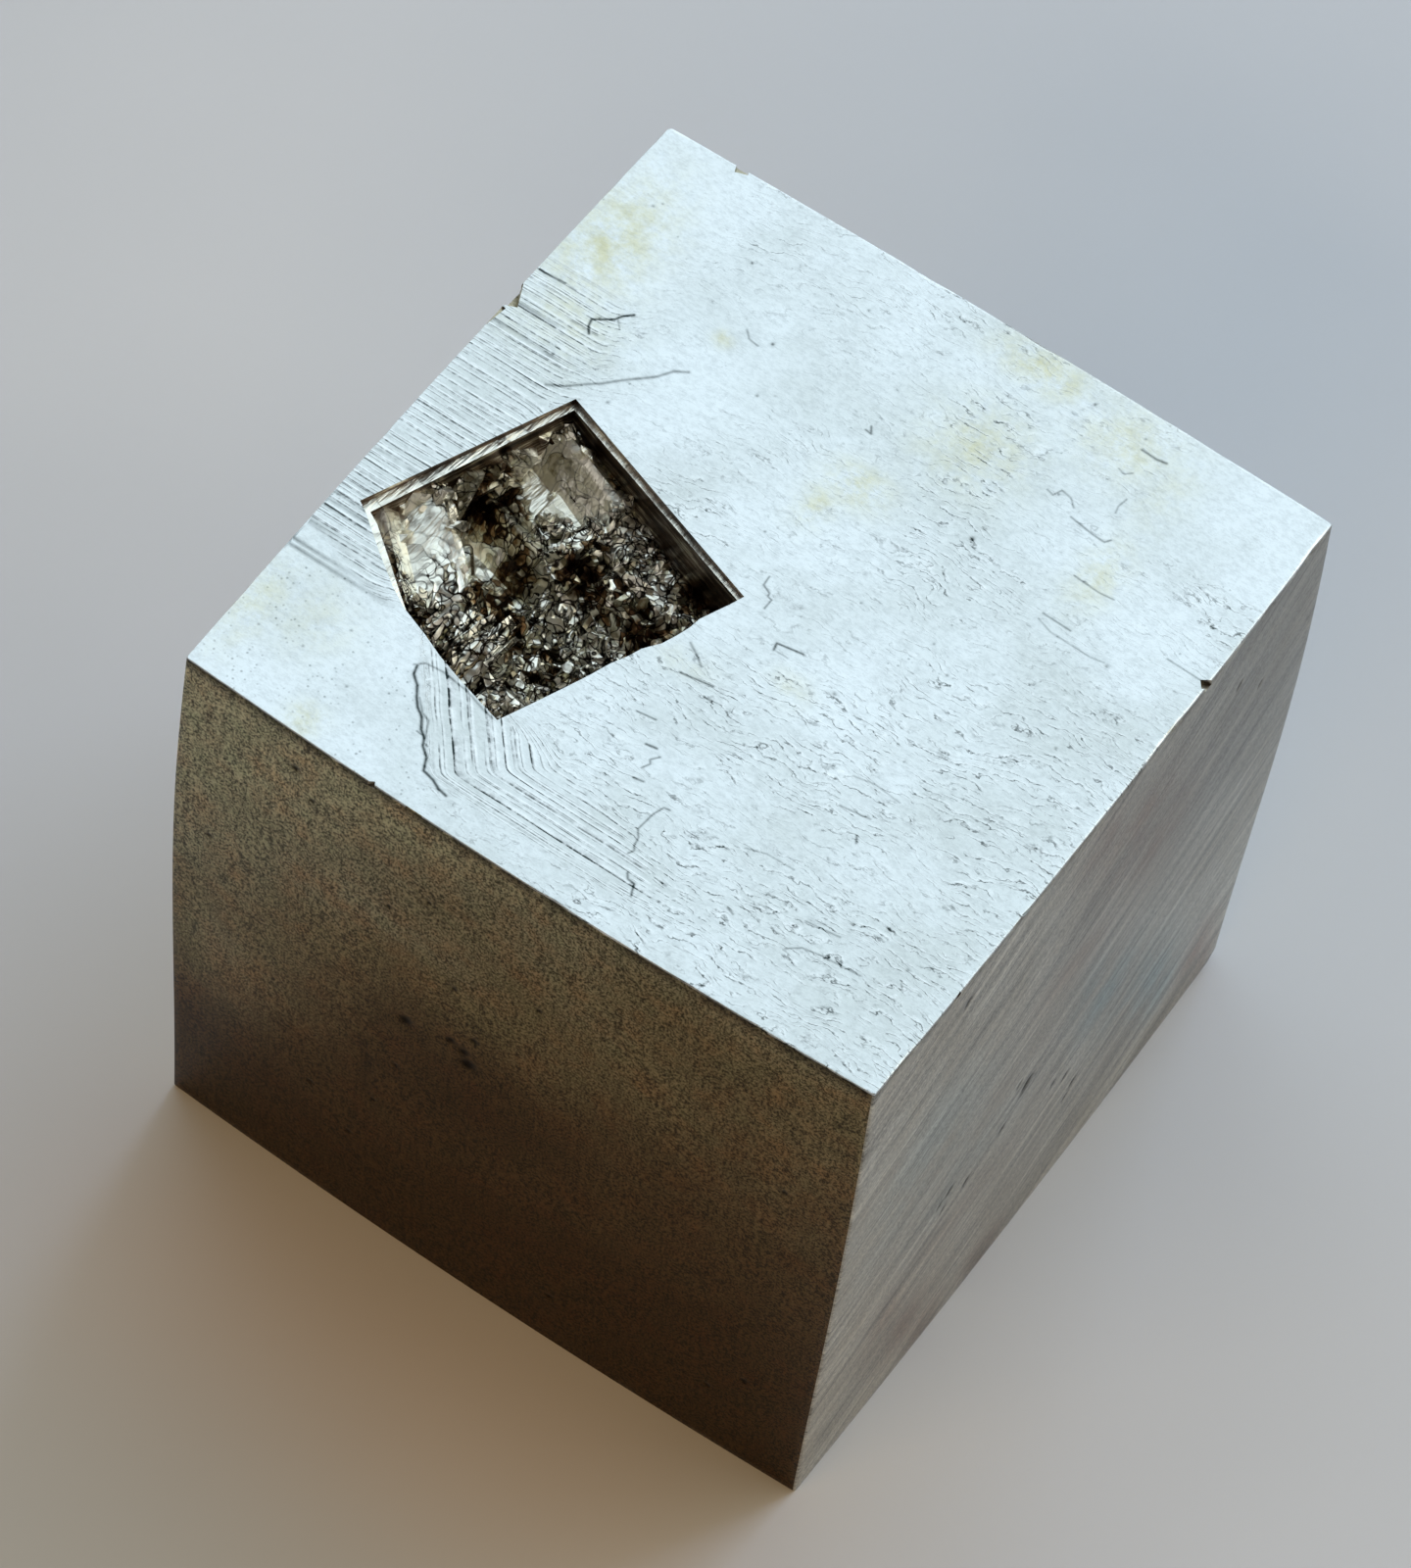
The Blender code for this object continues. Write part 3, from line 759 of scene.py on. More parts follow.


# Tone marks kept on the points: red is dirt in grooves and pits with painted shade along the grooves and
# just below the top rim, green yellow-green tarnish, blue iron stain

tarnishPatches = (
    # across, along, radius across, radius along, strength
    (-18.0, 12.5, 2.6, 4.2, 0.9), (3.5, 19.2, 2.6, 1.2, 1.0), (9.2, 18.0, 2.6, 2.2, 0.7),
    (3.4, 13.2, 2.6, 2.6, 0.75), (0.0, 7.8, 1.7, 1.2, 1.0), (-1.0, 5.6, 1.0, 1.3, 0.8),
    (-13.2, -19.4, 0.9, 1.0, 0.8), (-19.0, -15.5, 1.2, 3.0, 0.6), (12.3, 10.6, 1.1, 2.2, 0.75),
    (-16.5, -14.5, 2.6, 2.2, 0.35), (-10.1, 11.0, 0.5, 0.5, 0.9), (4.0, -4.0, 1.2, 1.0, 0.4),
    (-0.8, -5.8, 1.5, 0.8, 0.35), (12.2, 17.0, 1.4, 3.0, 0.35), (-17.0, 7.5, 3.0, 3.0, 0.5),
)

# On the upright faces: place along the face, height, radius along, radius up, strength
bronzePale = (
    (-16.5, 16.5, 4.5, 5.5, 0.8), (-18.0, 25.0, 4.0, 5.0, 0.3), (-6.0, 30.0, 4.0, 1.2, 0.25),
)
bronzeDark = (
    (-1.0, 19.5, 6.5, 5.0, 0.7), (-17.5, 4.5, 4.5, 3.5, 0.9), (-3.0, 34.0, 7.0, 4.0, 0.35),
    (14.0, 36.0, 8.0, 3.5, 0.3), (8.0, 9.0, 7.0, 4.0, 0.5),
)
greyFaceRed = (
    (0.0, 37.5, 2.6, 2.4, 0.8), (3.2, 34.0, 3.6, 3.6, 1.0), (6.4, 30.0, 3.0, 3.6, 0.9),
    (7.4, 26.5, 2.0, 2.2, 0.6), (17.0, 5.0, 1.9, 2.6, 0.9), (18.6, 2.2, 1.5, 1.8, 0.9),
    (-13.6, 9.0, 1.8, 3.0, 0.7), (-11.2, 5.0, 2.4, 3.0, 0.8), (-9.0, 1.8, 2.0, 2.0, 0.8),
    (-3.2, 1.6, 2.0, 1.6, 1.0), (-0.5, 27.0, 3.4, 1.7, 0.6), (-8.5, 12.0, 5.0, 1.4, 0.3),
)
greyFaceBlue = (
    (2.0, 21.0, 1.8, 2.2, 0.8), (5.0, 17.0, 2.8, 2.8, 1.0), (8.2, 13.2, 2.9, 2.9, 1.0),
    (11.0, 9.6, 2.6, 2.8, 1.0), (13.0, 6.2, 2.0, 2.4, 0.8), (-13.0, 26.0, 5.0, 7.0, 0.45),
    (-9.0, 18.0, 5.0, 3.0, 0.4),
)
greyFaceDark = (
    (-1.0, 27.4, 3.6, 1.6, 0.16), (-5.6, 26.6, 1.8, 1.0, 0.14), (-3.4, 1.4, 1.5, 1.3, 0.3),
    (-12.2, 38.6, 1.2, 0.35, 0.4), (-8.0, 0.8, 2.6, 0.6, 0.3), (15.0, 34.0, 17.0, 19.0, 0.48),
    (1.0, 30.5, 7.0, 5.5, 0.28),
)

socketStains = (
    # across, downward, radius across, radius downward, strength
    (2.3, 6.0, 1.7, 1.7, 1.0), (4.2, 7.2, 1.8, 1.5, 1.0), (0.2, 5.6, 1.2, 1.1, 0.9),
    (6.3, 8.6, 1.5, 1.2, 0.9), (6.9, 3.9, 1.7, 1.2, 0.9), (3.6, 0.1, 2.2, 0.8, 0.8),
    (11.6, 3.7, 1.7, 1.3, 0.9), (11.0, 0.2, 2.2, 0.7, 0.8), (9.6, 8.8, 1.3, 1.0, 0.5),
    (1.0, 2.4, 0.8, 2.2, 0.5), (12.6, 8.8, 1.1, 1.6, 0.4),
)
socketSmooth = (
    (2.2, 10.6, 3.0, 2.6, 1.0), (4.2, 10.2, 1.8, 1.8, 1.0), (2.2, 6.0, 2.0, 2.4, 0.9),
    (4.2, 7.4, 1.8, 1.5, 0.8), (2.3, 2.3, 2.4, 2.4, 1.0), (4.2, 1.4, 1.6, 1.4, 0.9),
)
socketBright = (
    (3.2, 11.9, 1.4, 1.0, 0.9), (0.9, 9.9, 1.2, 1.4, 0.45), (3.9, 9.4, 0.9, 1.1, 0.3),
    (5.7, 11.3, 1.1, 0.9, 0.6), (2.3, 2.4, 1.6, 1.3, 0.25), (4.3, 4.7, 0.7, 0.8, 1.0),
    (5.0, 3.0, 0.7, 1.3, 0.9), (6.1, 0.8, 0.8, 1.2, 0.8), (8.9, 1.6, 1.9, 1.1, 0.6),
    (6.8, 6.3, 1.6, 1.0, 0.7), (10.8, 5.7, 1.3, 0.9, 0.8), (8.5, 11.7, 1.9, 1.8, 0.7),
    (11.8, 12.0, 1.4, 1.4, 0.35),
)


def blobs(across, along, rows):
    total = np.zeros_like(across)
    for px, py, wide, tall, strength in rows:
        away = ((across - px) / wide) ** 2 + ((along - py) / tall) ** 2
        total = np.maximum(total, strength * np.exp(-away))
    return total


def markTones(crystal):
    points = readPoints(crystal)
    x, y, z = points.T
    tones = np.zeros((len(points), 4), np.float32)
    growth = np.zeros((len(points), 4), np.float32)
    tones[:, 3] = 1
    top = z > block["height"] - 0.2
    _, tones[top, 0] = topRelief(x[top], y[top])
    tones[top, 1] = blobs(x[top], y[top], tarnishPatches)
    growth[top] = np.stack(growthField(x[top], y[top]), 1)
    # points of the painted shade just below the top rim
    paintedRimShade = (z > block["height"] - 0.24) & (z < block["height"] - 0.1)
    for name, dirtAndShade, green, blue in (("front", (), bronzePale, bronzeDark),
                                    ("right", greyFaceDark, greyFaceRed, greyFaceBlue)):
        side = uprightFaces[name]
        facing = ownPoints(points, side, 0.25)
        own = facing & ~top
        along, up = points[own, 1 - side["axis"]], points[own, 2]
        _, dark = sideRelief(along, up, side)
        # painted shade: a soft dark band fading down from the top rim
        shade = 0.6 * side["paintedRimShade"] * smooth(block["height"] - 0.9, block["height"] - 0.45, up)
        tones[own, 0] = np.maximum(np.maximum(dark, shade), blobs(along, up, dirtAndShade))
        tones[own, 1] = blobs(along, up, green)
        tones[own, 2] = blobs(along, up, blue)
        # painted shade: the band just below the top rim is drawn dark, here and there broken
        own = facing & paintedRimShade
        tones[own, 0] = side["paintedRimShade"] * smooth(-0.4, 0.0, noiseAt(points[own], (0.7, 0.7, 0.7), 81))
    farWay, leftWay = socketWays()
    toSocket = np.linalg.inv(np.array(((farWay.x, leftWay.x), (farWay.y, leftWay.y))))
    across, downward = toSocket @ np.stack((x - socket["farLeft"].x, y - socket["farLeft"].y))
    stain = blobs(across, downward, socketStains) - blobs(across, downward, socketBright)
    ledge = np.abs(z - block["height"] + socket["ledgeDepth"]) < 0.06
    stain[ledge] = -0.75 - noiseAt(points[ledge], (0.8, 0.8, 0.8), 71)
    inside = (x < block["width"] / 2 - 1) & (y > 1 - block["depth"] / 2)
    tones[inside, 2] = np.clip(0.5 + 0.5 * stain[inside], 0, 1)
    growth[~top, 1] = np.maximum(blobs(across[~top], downward[~top], socketSmooth), ledge[~top])
    for name, values in (("surfaceTone", tones), ("growthLines", growth)):
        layer = crystal.data.color_attributes.new(name, "FLOAT_COLOR", "POINT")
        layer.data.foreach_set("color", values.ravel())


# Materials

def linear(code):
    parts = [int(code[place:place + 2], 16) / 255 for place in (1, 3, 5)]
    return (*(part / 12.92 if part <= 0.04045 else ((part + 0.055) / 1.055) ** 2.4 for part in parts), 1)


def perSize(millimetres):
    return 1000 / millimetres


def connect(node, inputs):
    # inputs come by name or in order, and a node among them stands for its first output in use
    for name, value in (inputs.items() if isinstance(inputs, dict) else enumerate(inputs)):
        if isinstance(value, bpy.types.Node):
            value = next(output for output in value.outputs if output.enabled)
        if isinstance(value, bpy.types.NodeSocket):
            node.id_data.links.new(value, node.inputs[name])
        else:
            node.inputs[name].default_value = value


def addNode(tree, kind, inputs=(), stops=(), **settings):
    made = tree.nodes.new("ShaderNode" + kind)
    for name, value in settings.items():
        setattr(made, name, value)
    connect(made, inputs)
    for number, (place, colour) in enumerate(stops):
        ramp = made.color_ramp.elements
        stop = ramp[number] if number < 2 else ramp.new(place)
        stop.position = place
        stop.color = linear(colour)
    return made


def startMaterial(name, values):
    # returns the material, its shader, the way to add a node to it, and places on the piece
    material = bpy.data.materials.new(name)
    material.use_nodes = True
    add = partial(addNode, material.node_tree)
    shader = material.node_tree.nodes["Principled BSDF"]
    connect(shader, values)
    return material, shader, add, add("TexCoord").outputs["Object"]


def readMarks(add, name):
    return add("SeparateColor", [add("Attribute", attribute_name=name)]).outputs


def brightGrowthFace():
    # Pyrite, an untarnished crystal face as it grew: a bright, pale silvery metal with broken hairline
    # growth steps, drawn dark with dirt and painted shade in the grooves and a painted highlight beside
    # them, pinprick pits and faint yellow-green tarnish in patches
    material, shader, add, place = startMaterial(
        "pyriteBrightGrowthFace", {"Metallic": 1, "Roughness": 0.22})
    darkTone, tarnish, _ = readMarks(add, "surfaceTone")
    field, strength, waves = readMarks(add, "growthLines")
    nearCorner = add("Attribute", attribute_name="growthLines").outputs["Alpha"]
    split = add("SeparateXYZ", [place])
    # place along the growth lines, stretched where they run straight, so that each one fades in and out
    reach = add("MapRange", (waves, 0, 1, perSize(2.6), perSize(1.3)))
    run = add("Math", (split.outputs["X"], split.outputs["Y"]), operation="SUBTRACT")
    run = add("Math", (run, reach), operation="MULTIPLY")
    longways = add("Mapping", {"Vector": place, "Scale": (0.55, 1, 1)})
    straight = add("MapRange", (waves, 0, 1, 0.08, 0))
    weight = add("MapRange", (waves, 0, 1, 0.7, 1))
    hairlines, paintedHighlight = 0, 0
    for seed, spacing, crinkle, low, high, share in (
            (3.1, 0.48, 1.2, 0.42, 0.58, 1), (8.7, 0.3, 1, 0.45, 0.62, 0.75),
            (5.2, 0.85, 2.2, 0.5, 0.64, 0.5)):
        bend = add("TexNoise", {"Vector": longways, "W": seed, "Scale": perSize(0.6), "Detail": 3,
                                "Roughness": 0.62}, noise_dimensions="4D")
        bend = add("Math", (bend, 0.5), operation="SUBTRACT")
        bend = add("Math", (bend, crinkle / spacing), operation="MULTIPLY")
        even = add("TexNoise", {"W": field, "Scale": 0.7, "Detail": 1}, noise_dimensions="1D")
        rows = add("Math", (field, 1 / spacing, even), operation="MULTIPLY_ADD")
        rows = add("Math", (bend, waves, rows), operation="MULTIPLY_ADD")
        number = add("Math", [rows], operation="FLOOR")
        apart = add("Math", (number, 5.37), operation="MULTIPLY")
        fade = add("TexNoise", {"Vector": add("CombineXYZ", (run, apart, seed)), "Scale": 1, "Detail": 2})
        fade = add("Math", (fade, straight), operation="ADD")
        shown = add("MapRange", (fade, low, high, 0, share), interpolation_type="SMOOTHSTEP")
        across = add("Math", [rows], operation="FRACT")
        edge = add("MapRange", (across, 0.22, 0.05), interpolation_type="SMOOTHSTEP")
        edge = add("Math", (edge, weight), operation="MULTIPLY")
        hairlines = add("Math", (edge, shown, hairlines), operation="MULTIPLY_ADD")
        # painted highlight: a light band drawn just beside each growth line
        beside = add("MapRange", (across, 0.5, 0.26), interpolation_type="SMOOTHSTEP")
        paintedHighlight = add("Math", (beside, shown, paintedHighlight), operation="MULTIPLY_ADD")
    scratchy = add("TexNoise", {"Vector": place, "Scale": perSize(0.3), "Detail": 3})
    scratchy = add("MapRange", (scratchy, 0.36, 0.56, 0.3))
    hairlines = add("Math", (hairlines, strength), operation="MULTIPLY")
    hairlines = add("Math", (hairlines, scratchy), operation="MULTIPLY")
    paintedHighlight = add("Math", (paintedHighlight, strength), operation="MULTIPLY")
    paintedHighlight = add("Math", (paintedHighlight, 0.38), operation="MULTIPLY", use_clamp=True)
    # pinprick pits, thick only in the near left corner
    dots = add("TexVoronoi", {"Vector": place, "Scale": perSize(0.34), "Randomness": 1})
    pricks = add("MapRange", (dots, 0.25, 0.1, 0, 0.42))
    crowd = add("TexNoise", {"Vector": place, "Scale": perSize(1.6), "Detail": 4, "Roughness": 0.7})
    crowd = add("Math", (nearCorner, 0.13, crowd), operation="MULTIPLY_ADD")
    crowd = add("MapRange", (crowd, 0.6, 0.7))
    pricks = add("Math", (pricks, crowd), operation="MULTIPLY")
    # colour: clean silvery metal, tarnish patches, a painted highlight beside the steps, grey speckle, and
    # dirt with painted shade in the grooves
    ragged = add("TexNoise", {"Vector": place, "Scale": perSize(1.4), "Detail": 5, "Roughness": 0.7})
    ragged = add("MapRange", (ragged, 0.34, 0.62))
    patch = add("Math", (tarnish, ragged), operation="MULTIPLY", use_clamp=True)
    cloud = add("TexNoise", {"Vector": place, "Scale": perSize(7), "Detail": 5, "Roughness": 0.6})
    cloud = add("Math", (strength, -0.16, cloud), operation="MULTIPLY_ADD")
    colour = add("ValToRGB", [cloud], ((0.26, "#d2d5d3"), (0.56, "#e4e7e8")))
    speckle = add("TexNoise", {"Vector": longways, "Scale": perSize(0.22), "Detail": 3, "Roughness": 0.7})
    speckle = add("MapRange", (speckle, 0.42, 0.75, 0, 0.2))
    # dirt and painted shade: dark growth grooves, cracks and pits, with the fine speckle
    dirtAndShade = add("Math", (hairlines, darkTone), operation="ADD")
    fine = add("Math", (pricks, speckle), operation="ADD")
    dirtAndShade = add("Math", (dirtAndShade, fine), operation="ADD", use_clamp=True)
    for share, code in ((patch, "#d3cda9"), (paintedHighlight, "#ffffff"), (dirtAndShade, "#26302f")):
        colour = add("Mix", {"Factor": share, "A": colour, "B": linear(code)}, data_type="RGBA")
    grains = add("TexNoise", {"Vector": longways, "Scale": perSize(0.24), "Detail": 2})
    height = add("Math", (hairlines, -0.8, grains), operation="MULTIPLY_ADD")
    bump = add("Bump", {"Height": height, "Strength": 0.35, "Distance": 0.02 * mm})
    connect(shader, {"Base Color": colour, "Normal": bump})
    return material


def brownTarnishedFace():
    # Pyrite darkened by an iron oxide film: dull bronze in olive and reddish patches, finely granular, with
    # a trace of upright growth grain and a few pits. Darkest towards the foot and lighter to the left,
    # partly from the film and partly painted shade of the shaded floor that the face reflects
    material, shader, add, place = startMaterial("pyriteBrownTarnish", {"Metallic": 1, "Roughness": 0.4})
    dirtAndShade, pale, dark = readMarks(add, "surfaceTone")
    split = add("SeparateXYZ", [place])
    drift = add("TexNoise", {"Vector": place, "Scale": perSize(8), "Detail": 5, "Roughness": 0.65})
    # painted shade: darker towards the foot and towards the right, partly the oxide film and partly the
    # shaded floor that the face reflects
    level = add("MapRange", (split.outputs["Z"], 0, block["height"] * mm))
    left = add("MapRange", (split.outputs["X"], 20 * mm, -20 * mm, 0.6, 1.02))
    level = add("Math", (level, left), operation="MULTIPLY")
    for zone, share in ((drift, 0.3), (pale, 0.3), (dark, -0.3)):
        level = add("Math", (zone, share, level), operation="MULTIPLY_ADD")
    baseTone = add("ValToRGB", [level], ((0.28, "#4d3a24"), (0.97, "#a6a38c"), (0.5, "#5f4e37"),
                                     (0.72, "#857a60"), (0.85, "#928c77")))
    hue = add("TexNoise", {"Vector": place, "Scale": perSize(2.2), "Detail": 5, "Roughness": 0.7})
    tint = add("ValToRGB", [hue], ((0.34, "#e6e6d6"), (0.68, "#f8dcc6"), (0.5, "#f0e8da")))
    baseTone = add("VectorMath", (baseTone, tint), operation="MULTIPLY")
    upright = add("Mapping", {"Vector": place, "Rotation": (0, radians(4), 0),
                              "Scale": (perSize(0.35), 1, perSize(1.6))})
    grain = add("TexNoise", {"Vector": upright, "Scale": 1, "Detail": 3, "Roughness": 0.7})
    speck = add("TexNoise", {"Vector": place, "Scale": perSize(0.15), "Detail": 2, "Roughness": 0.8})
    mixed = add("Math", (grain, 0.3, speck), operation="MULTIPLY_ADD")
    shade = add("MapRange", (mixed, 0.54, 0.76, 0.2, 1.8))
    baseTone = add("VectorMath", {0: baseTone, "Scale": shade}, operation="SCALE")
    # dark in the pits and scratches, and painted shade just below the top rim
    colour = add("Mix", {"Factor": dirtAndShade, "A": baseTone, "B": linear("#150d06")}, data_type="RGBA")
    bump = add("Bump", {"Height": mixed, "Strength": 0.5, "Distance": 0.03 * mm})
    connect(shader, {"Base Color": colour, "Normal": bump})
    return material


def greyStreakedFace():
    # Pyrite with a thin uneven film: steel grey with red-brown and blue-green zones, finely striated by
    # growth lines that run along the face and dip gently to the front
    material, shader, add, place = startMaterial("pyriteGreyStreaked", {"Metallic": 1, "Roughness": 0.3})
    dirtAndShade, red, blue = readMarks(add, "surfaceTone")
    turned = add("Mapping", {"Vector": place, "Rotation": (radians(-22), 0, 0)})
    cloud = add("TexNoise", {"Vector": place, "Scale": perSize(5), "Detail": 5, "Roughness": 0.65})
    baseTone = add("ValToRGB", [cloud], ((0.35, "#a69f91"), (0.65, "#b6b2a7")))
    ragged = add("MapRange", (cloud, 0.3, 0.55))
    for zone, code in ((red, "#8d7360"), (blue, "#8fa09f")):
        share = add("Math", (zone, ragged), operation="MULTIPLY", use_clamp=True)
        baseTone = add("Mix", {"Factor": share, "A": baseTone, "B": linear(code)}, data_type="RGBA")
    shade = 0.34
    for wide, long, share in ((0.2, 9, 0.75), (1.2, 18, 0.8)):
        stretched = add("Mapping", {"Vector": turned, "Scale": (1, perSize(long), perSize(wide))})
        streak = add("TexNoise", {"Vector": stretched, "Scale": 1, "Detail": 4, "Roughness": 0.65})
        shade = add("Math", (streak, share, shade), operation="MULTIPLY_ADD")
    grains = add("TexNoise", {"Vector": place, "Scale": perSize(0.2), "Detail": 2, "Roughness": 0.8})
    shade = add("Math", (grains, 0.7, shade), operation="MULTIPLY_ADD")
    strong = add("MapRange", (shade, 1.24, 1.69, 0.36, 1.62))
    baseTone = add("VectorMath", {0: baseTone, "Scale": strong}, operation="SCALE")
    # dark in the pits, steps and darker patches, and painted shade just below the top rim
    colour = add("Mix", {"Factor": dirtAndShade, "A": baseTone, "B": linear("#1c1712")}, data_type="RGBA")
    bump = add("Bump", {"Height": shade, "Strength": 0.3, "Distance": 0.04 * mm})
    connect(shader, {"Base Color": colour, "Normal": bump})
    return material


def satinBrassFace(name, longWay):
    # Pyrite face with its natural pale brass colour, fine growth striations and thin brown tarnish in
    # clouds, for the sides that the first view doesn't show. Striations turn by a right angle from one
    # face of pyrite to the next: upright (2) on the back, level (1) on the left
    material, shader, add, place = startMaterial(name, {"Metallic": 1, "Roughness": 0.27})
    cloud = add("TexNoise", {"Vector": place, "Scale": perSize(9), "Detail": 6, "Roughness": 0.6})
    baseTone = add("ValToRGB", [cloud], ((0.32, "#8d8068"), (0.68, "#bdb6a2"), (0.5, "#aaa18b")))
    shade = 0
    for wide, long, share in ((0.14, 8, 0.4), (0.7, 22, 0.35), (0.2, 0.2, 0.25)):
        scale = [perSize(wide)] * 3
        scale[longWay] = perSize(long)
        stretched = add("Mapping", {"Vector": place, "Scale": scale})
        streak = add("TexNoise", {"Vector": stretched, "Scale": 1, "Detail": 3, "Roughness": 0.65})
        shade = add("Math", (streak, share, shade), operation="MULTIPLY_ADD")
    strong = add("MapRange", (shade, 0.38, 0.62, 0.62, 1.3))
    colour = add("VectorMath", {0: baseTone, "Scale": strong}, operation="SCALE")
    bump = add("Bump", {"Height": shade, "Strength": 0.35, "Distance": 0.05 * mm})
    connect(shader, {"Base Color": colour, "Normal": bump})
    return material


def fracturedSocket():
    # Broken pyrite: uneven fracture in grey and bright facets, each tilted its own way, with dark seams
    # between them, small and wrinkled in most places and large where the break is smooth, stained
    # brown-black by iron oxide in the hollows
    material, shader, add, place = startMaterial("pyriteBrokenFracture", {"Metallic": 1, "Roughness": 0.36})
    calm = readMarks(add, "growthLines")[1]
    rough = add("MapRange", (calm, 0.7, 0.35))
    faint = add("MapRange", (calm, 0.7, 0.35, 0.28))
    darkTone = add("TexNoise", {"Vector": place, "Scale": perSize(0.5), "Detail": 4, "Roughness": 0.65})
    zone = add("Math", (readMarks(add, "surfaceTone")[2], 1.35), operation="MULTIPLY")
    stain = add("Math", (darkTone, 0.8, zone), operation="MULTIPLY_ADD")
    # fine streaks along the smooth breaks
    along = add("Mapping", {"Vector": place, "Rotation": (0, 0, socketTurn() + 0.2),
                            "Scale": (0.34 * mm, 2.4 * mm, 0.8 * mm)}, vector_type="TEXTURE")
    streak = add("TexNoise", {"Vector": along, "Scale": 1, "Detail": 3, "Roughness": 0.6})
    streak = add("Math", (streak, 0.5), operation="SUBTRACT")
    streak = add("Math", (streak, calm), operation="MULTIPLY")
    stain = add("Math", (streak, 1.5, stain), operation="MULTIPLY_ADD")
    height = add("Math", (streak, 0.16 * mm), operation="MULTIPLY")
    seams = 0
    for size, swirl, bend, share, tilt, line, weight, drawn in (
            (0.74, 1.1, 3, 0.7, 0.4, 0.1, rough, rough), (2.1, 1.7, 2.6, 0.4, 0.22, 0.03, 1, faint)):
        warp = add("TexNoise", {"Vector": place, "Scale": perSize(swirl), "Detail": 1})
        warp = add("VectorMath", {0: warp.outputs["Color"], "Scale": bend * mm}, operation="SCALE")
        bent = add("VectorMath", (place, warp), operation="ADD")
        facets = add("TexVoronoi", {"Vector": bent, "Scale": perSize(size)})
        border = add("TexVoronoi", {"Vector": bent, "Scale": perSize(size)}, feature="DISTANCE_TO_EDGE")
        seam = add("MapRange", (border, line, line / 3))
        seams = add("Math", (seam, drawn, seams), operation="MULTIPLY_ADD")
        own = add("SeparateColor", [facets.outputs["Color"]])
        own = add("Math", (own, share), operation="MULTIPLY")
        stain = add("Math", (own, weight, stain), operation="MULTIPLY_ADD")
        # each facet is a plane that leans by its own random vector
        lean = add("VectorMath", (facets.outputs["Color"], (0.5, 0.5, 0.5)), operation="SUBTRACT")
        inner = add("VectorMath", (bent, facets.outputs["Position"]), operation="SUBTRACT")
        rise = add("VectorMath", (lean, inner), operation="DOT_PRODUCT")
        rise = add("Math", (rise, tilt), operation="MULTIPLY")
        height = add("Math", (rise, weight, height), operation="MULTIPLY_ADD")
    stain = add("Math", (stain, 1.37), operation="SUBTRACT", use_clamp=True)
    colour = add("ValToRGB", [stain], ((0.2, "#fdfaee"), (0.92, "#301f15"), (0.34, "#ebe8d6"),
                                       (0.48, "#c0b99f"), (0.66, "#7f6548")))
    seams = add("Math", (seams, 0.96), operation="MULTIPLY", use_clamp=True)
    colour = add("Mix", {"Factor": seams, "A": colour, "B": linear("#1c130c")}, data_type="RGBA")
    bump = add("Bump", {"Height": height, "Strength": 1, "Distance": 1})
    connect(shader, {"Base Color": colour, "Normal": bump})
    return material


def smoothSocketWall():
    # The socket's upright walls, once pressed against the lost crystal: smooth pyrite with growth lines
    # along the rim, under a brown-black film that is worn off on the higher lines. The dark is partly
    # painted shade: on the riser just under the mouth it draws the shadow of the rim edge as a black line
    material, shader, add, place = startMaterial("pyriteDarkSocketWall", {"Metallic": 1, "Roughness": 0.3})
    flat = add("Mapping", {"Vector": place, "Scale": (perSize(3.5), perSize(3.5), perSize(0.45))})
    cloud = add("TexNoise", {"Vector": flat, "Scale": 1, "Detail": 5, "Roughness": 0.7})
    # painted shade: mostly dark brown-black, which also draws the rim edge's shadow on the riser under the
    # mouth
    baseTone = add("ValToRGB", [cloud], ((0.4, "#2b2018"), (0.66, "#dcd5c2"), (0.54, "#66513f")))
    bump = add("Bump", {"Height": cloud, "Strength": 0.5, "Distance": 0.1 * mm})
    connect(shader, {"Base Color": baseTone, "Normal": bump})
    return material


def finishAt(middle, normal, outline):
    # the socket and the chips are found by their place in mm, the six faces by their normal, and the
    # worn edges by a normal between two faces
    halfX, halfY = block["width"] / 2, block["depth"] / 2
    outer = (halfX - 0.3 < abs(middle.x)) or (halfY - 0.3 < abs(middle.y)) or middle.z < 0.3
    if normal.z > 0.6 and block["height"] - middle.z < 0.15:
        return "bright"
    if outer and max(abs(part) for part in normal) < 0.95:
        if normal.z > 0.3:
            return "bright"
        if normal.x > 0.3:
            return "grey"
        if normal.y < -0.3:
            return "brown"
        return "satinLevel" if normal.x < -0.3 else "satinUpright"
    if middle.y < -halfY + 0.25 and normal.y < -0.5:
        return "brown"
    if middle.x > halfX - 0.2 and normal.x > 0.5:
        return "grey"
    if middle.x < -halfX + 0.2 and normal.x < -0.5:
        return "satinLevel"
    if middle.x < -halfX + 0.2 or middle.y > halfY - 0.2 or middle.z < 0.2:
        return "satinUpright"
    if outer:
        return "wall"
    if abs(normal.z) < 0.3 and lineDistance(np.array([middle.x]), np.array([middle.y]), outline)[0] < 0.5:
        return "wall"
    return "fracture"


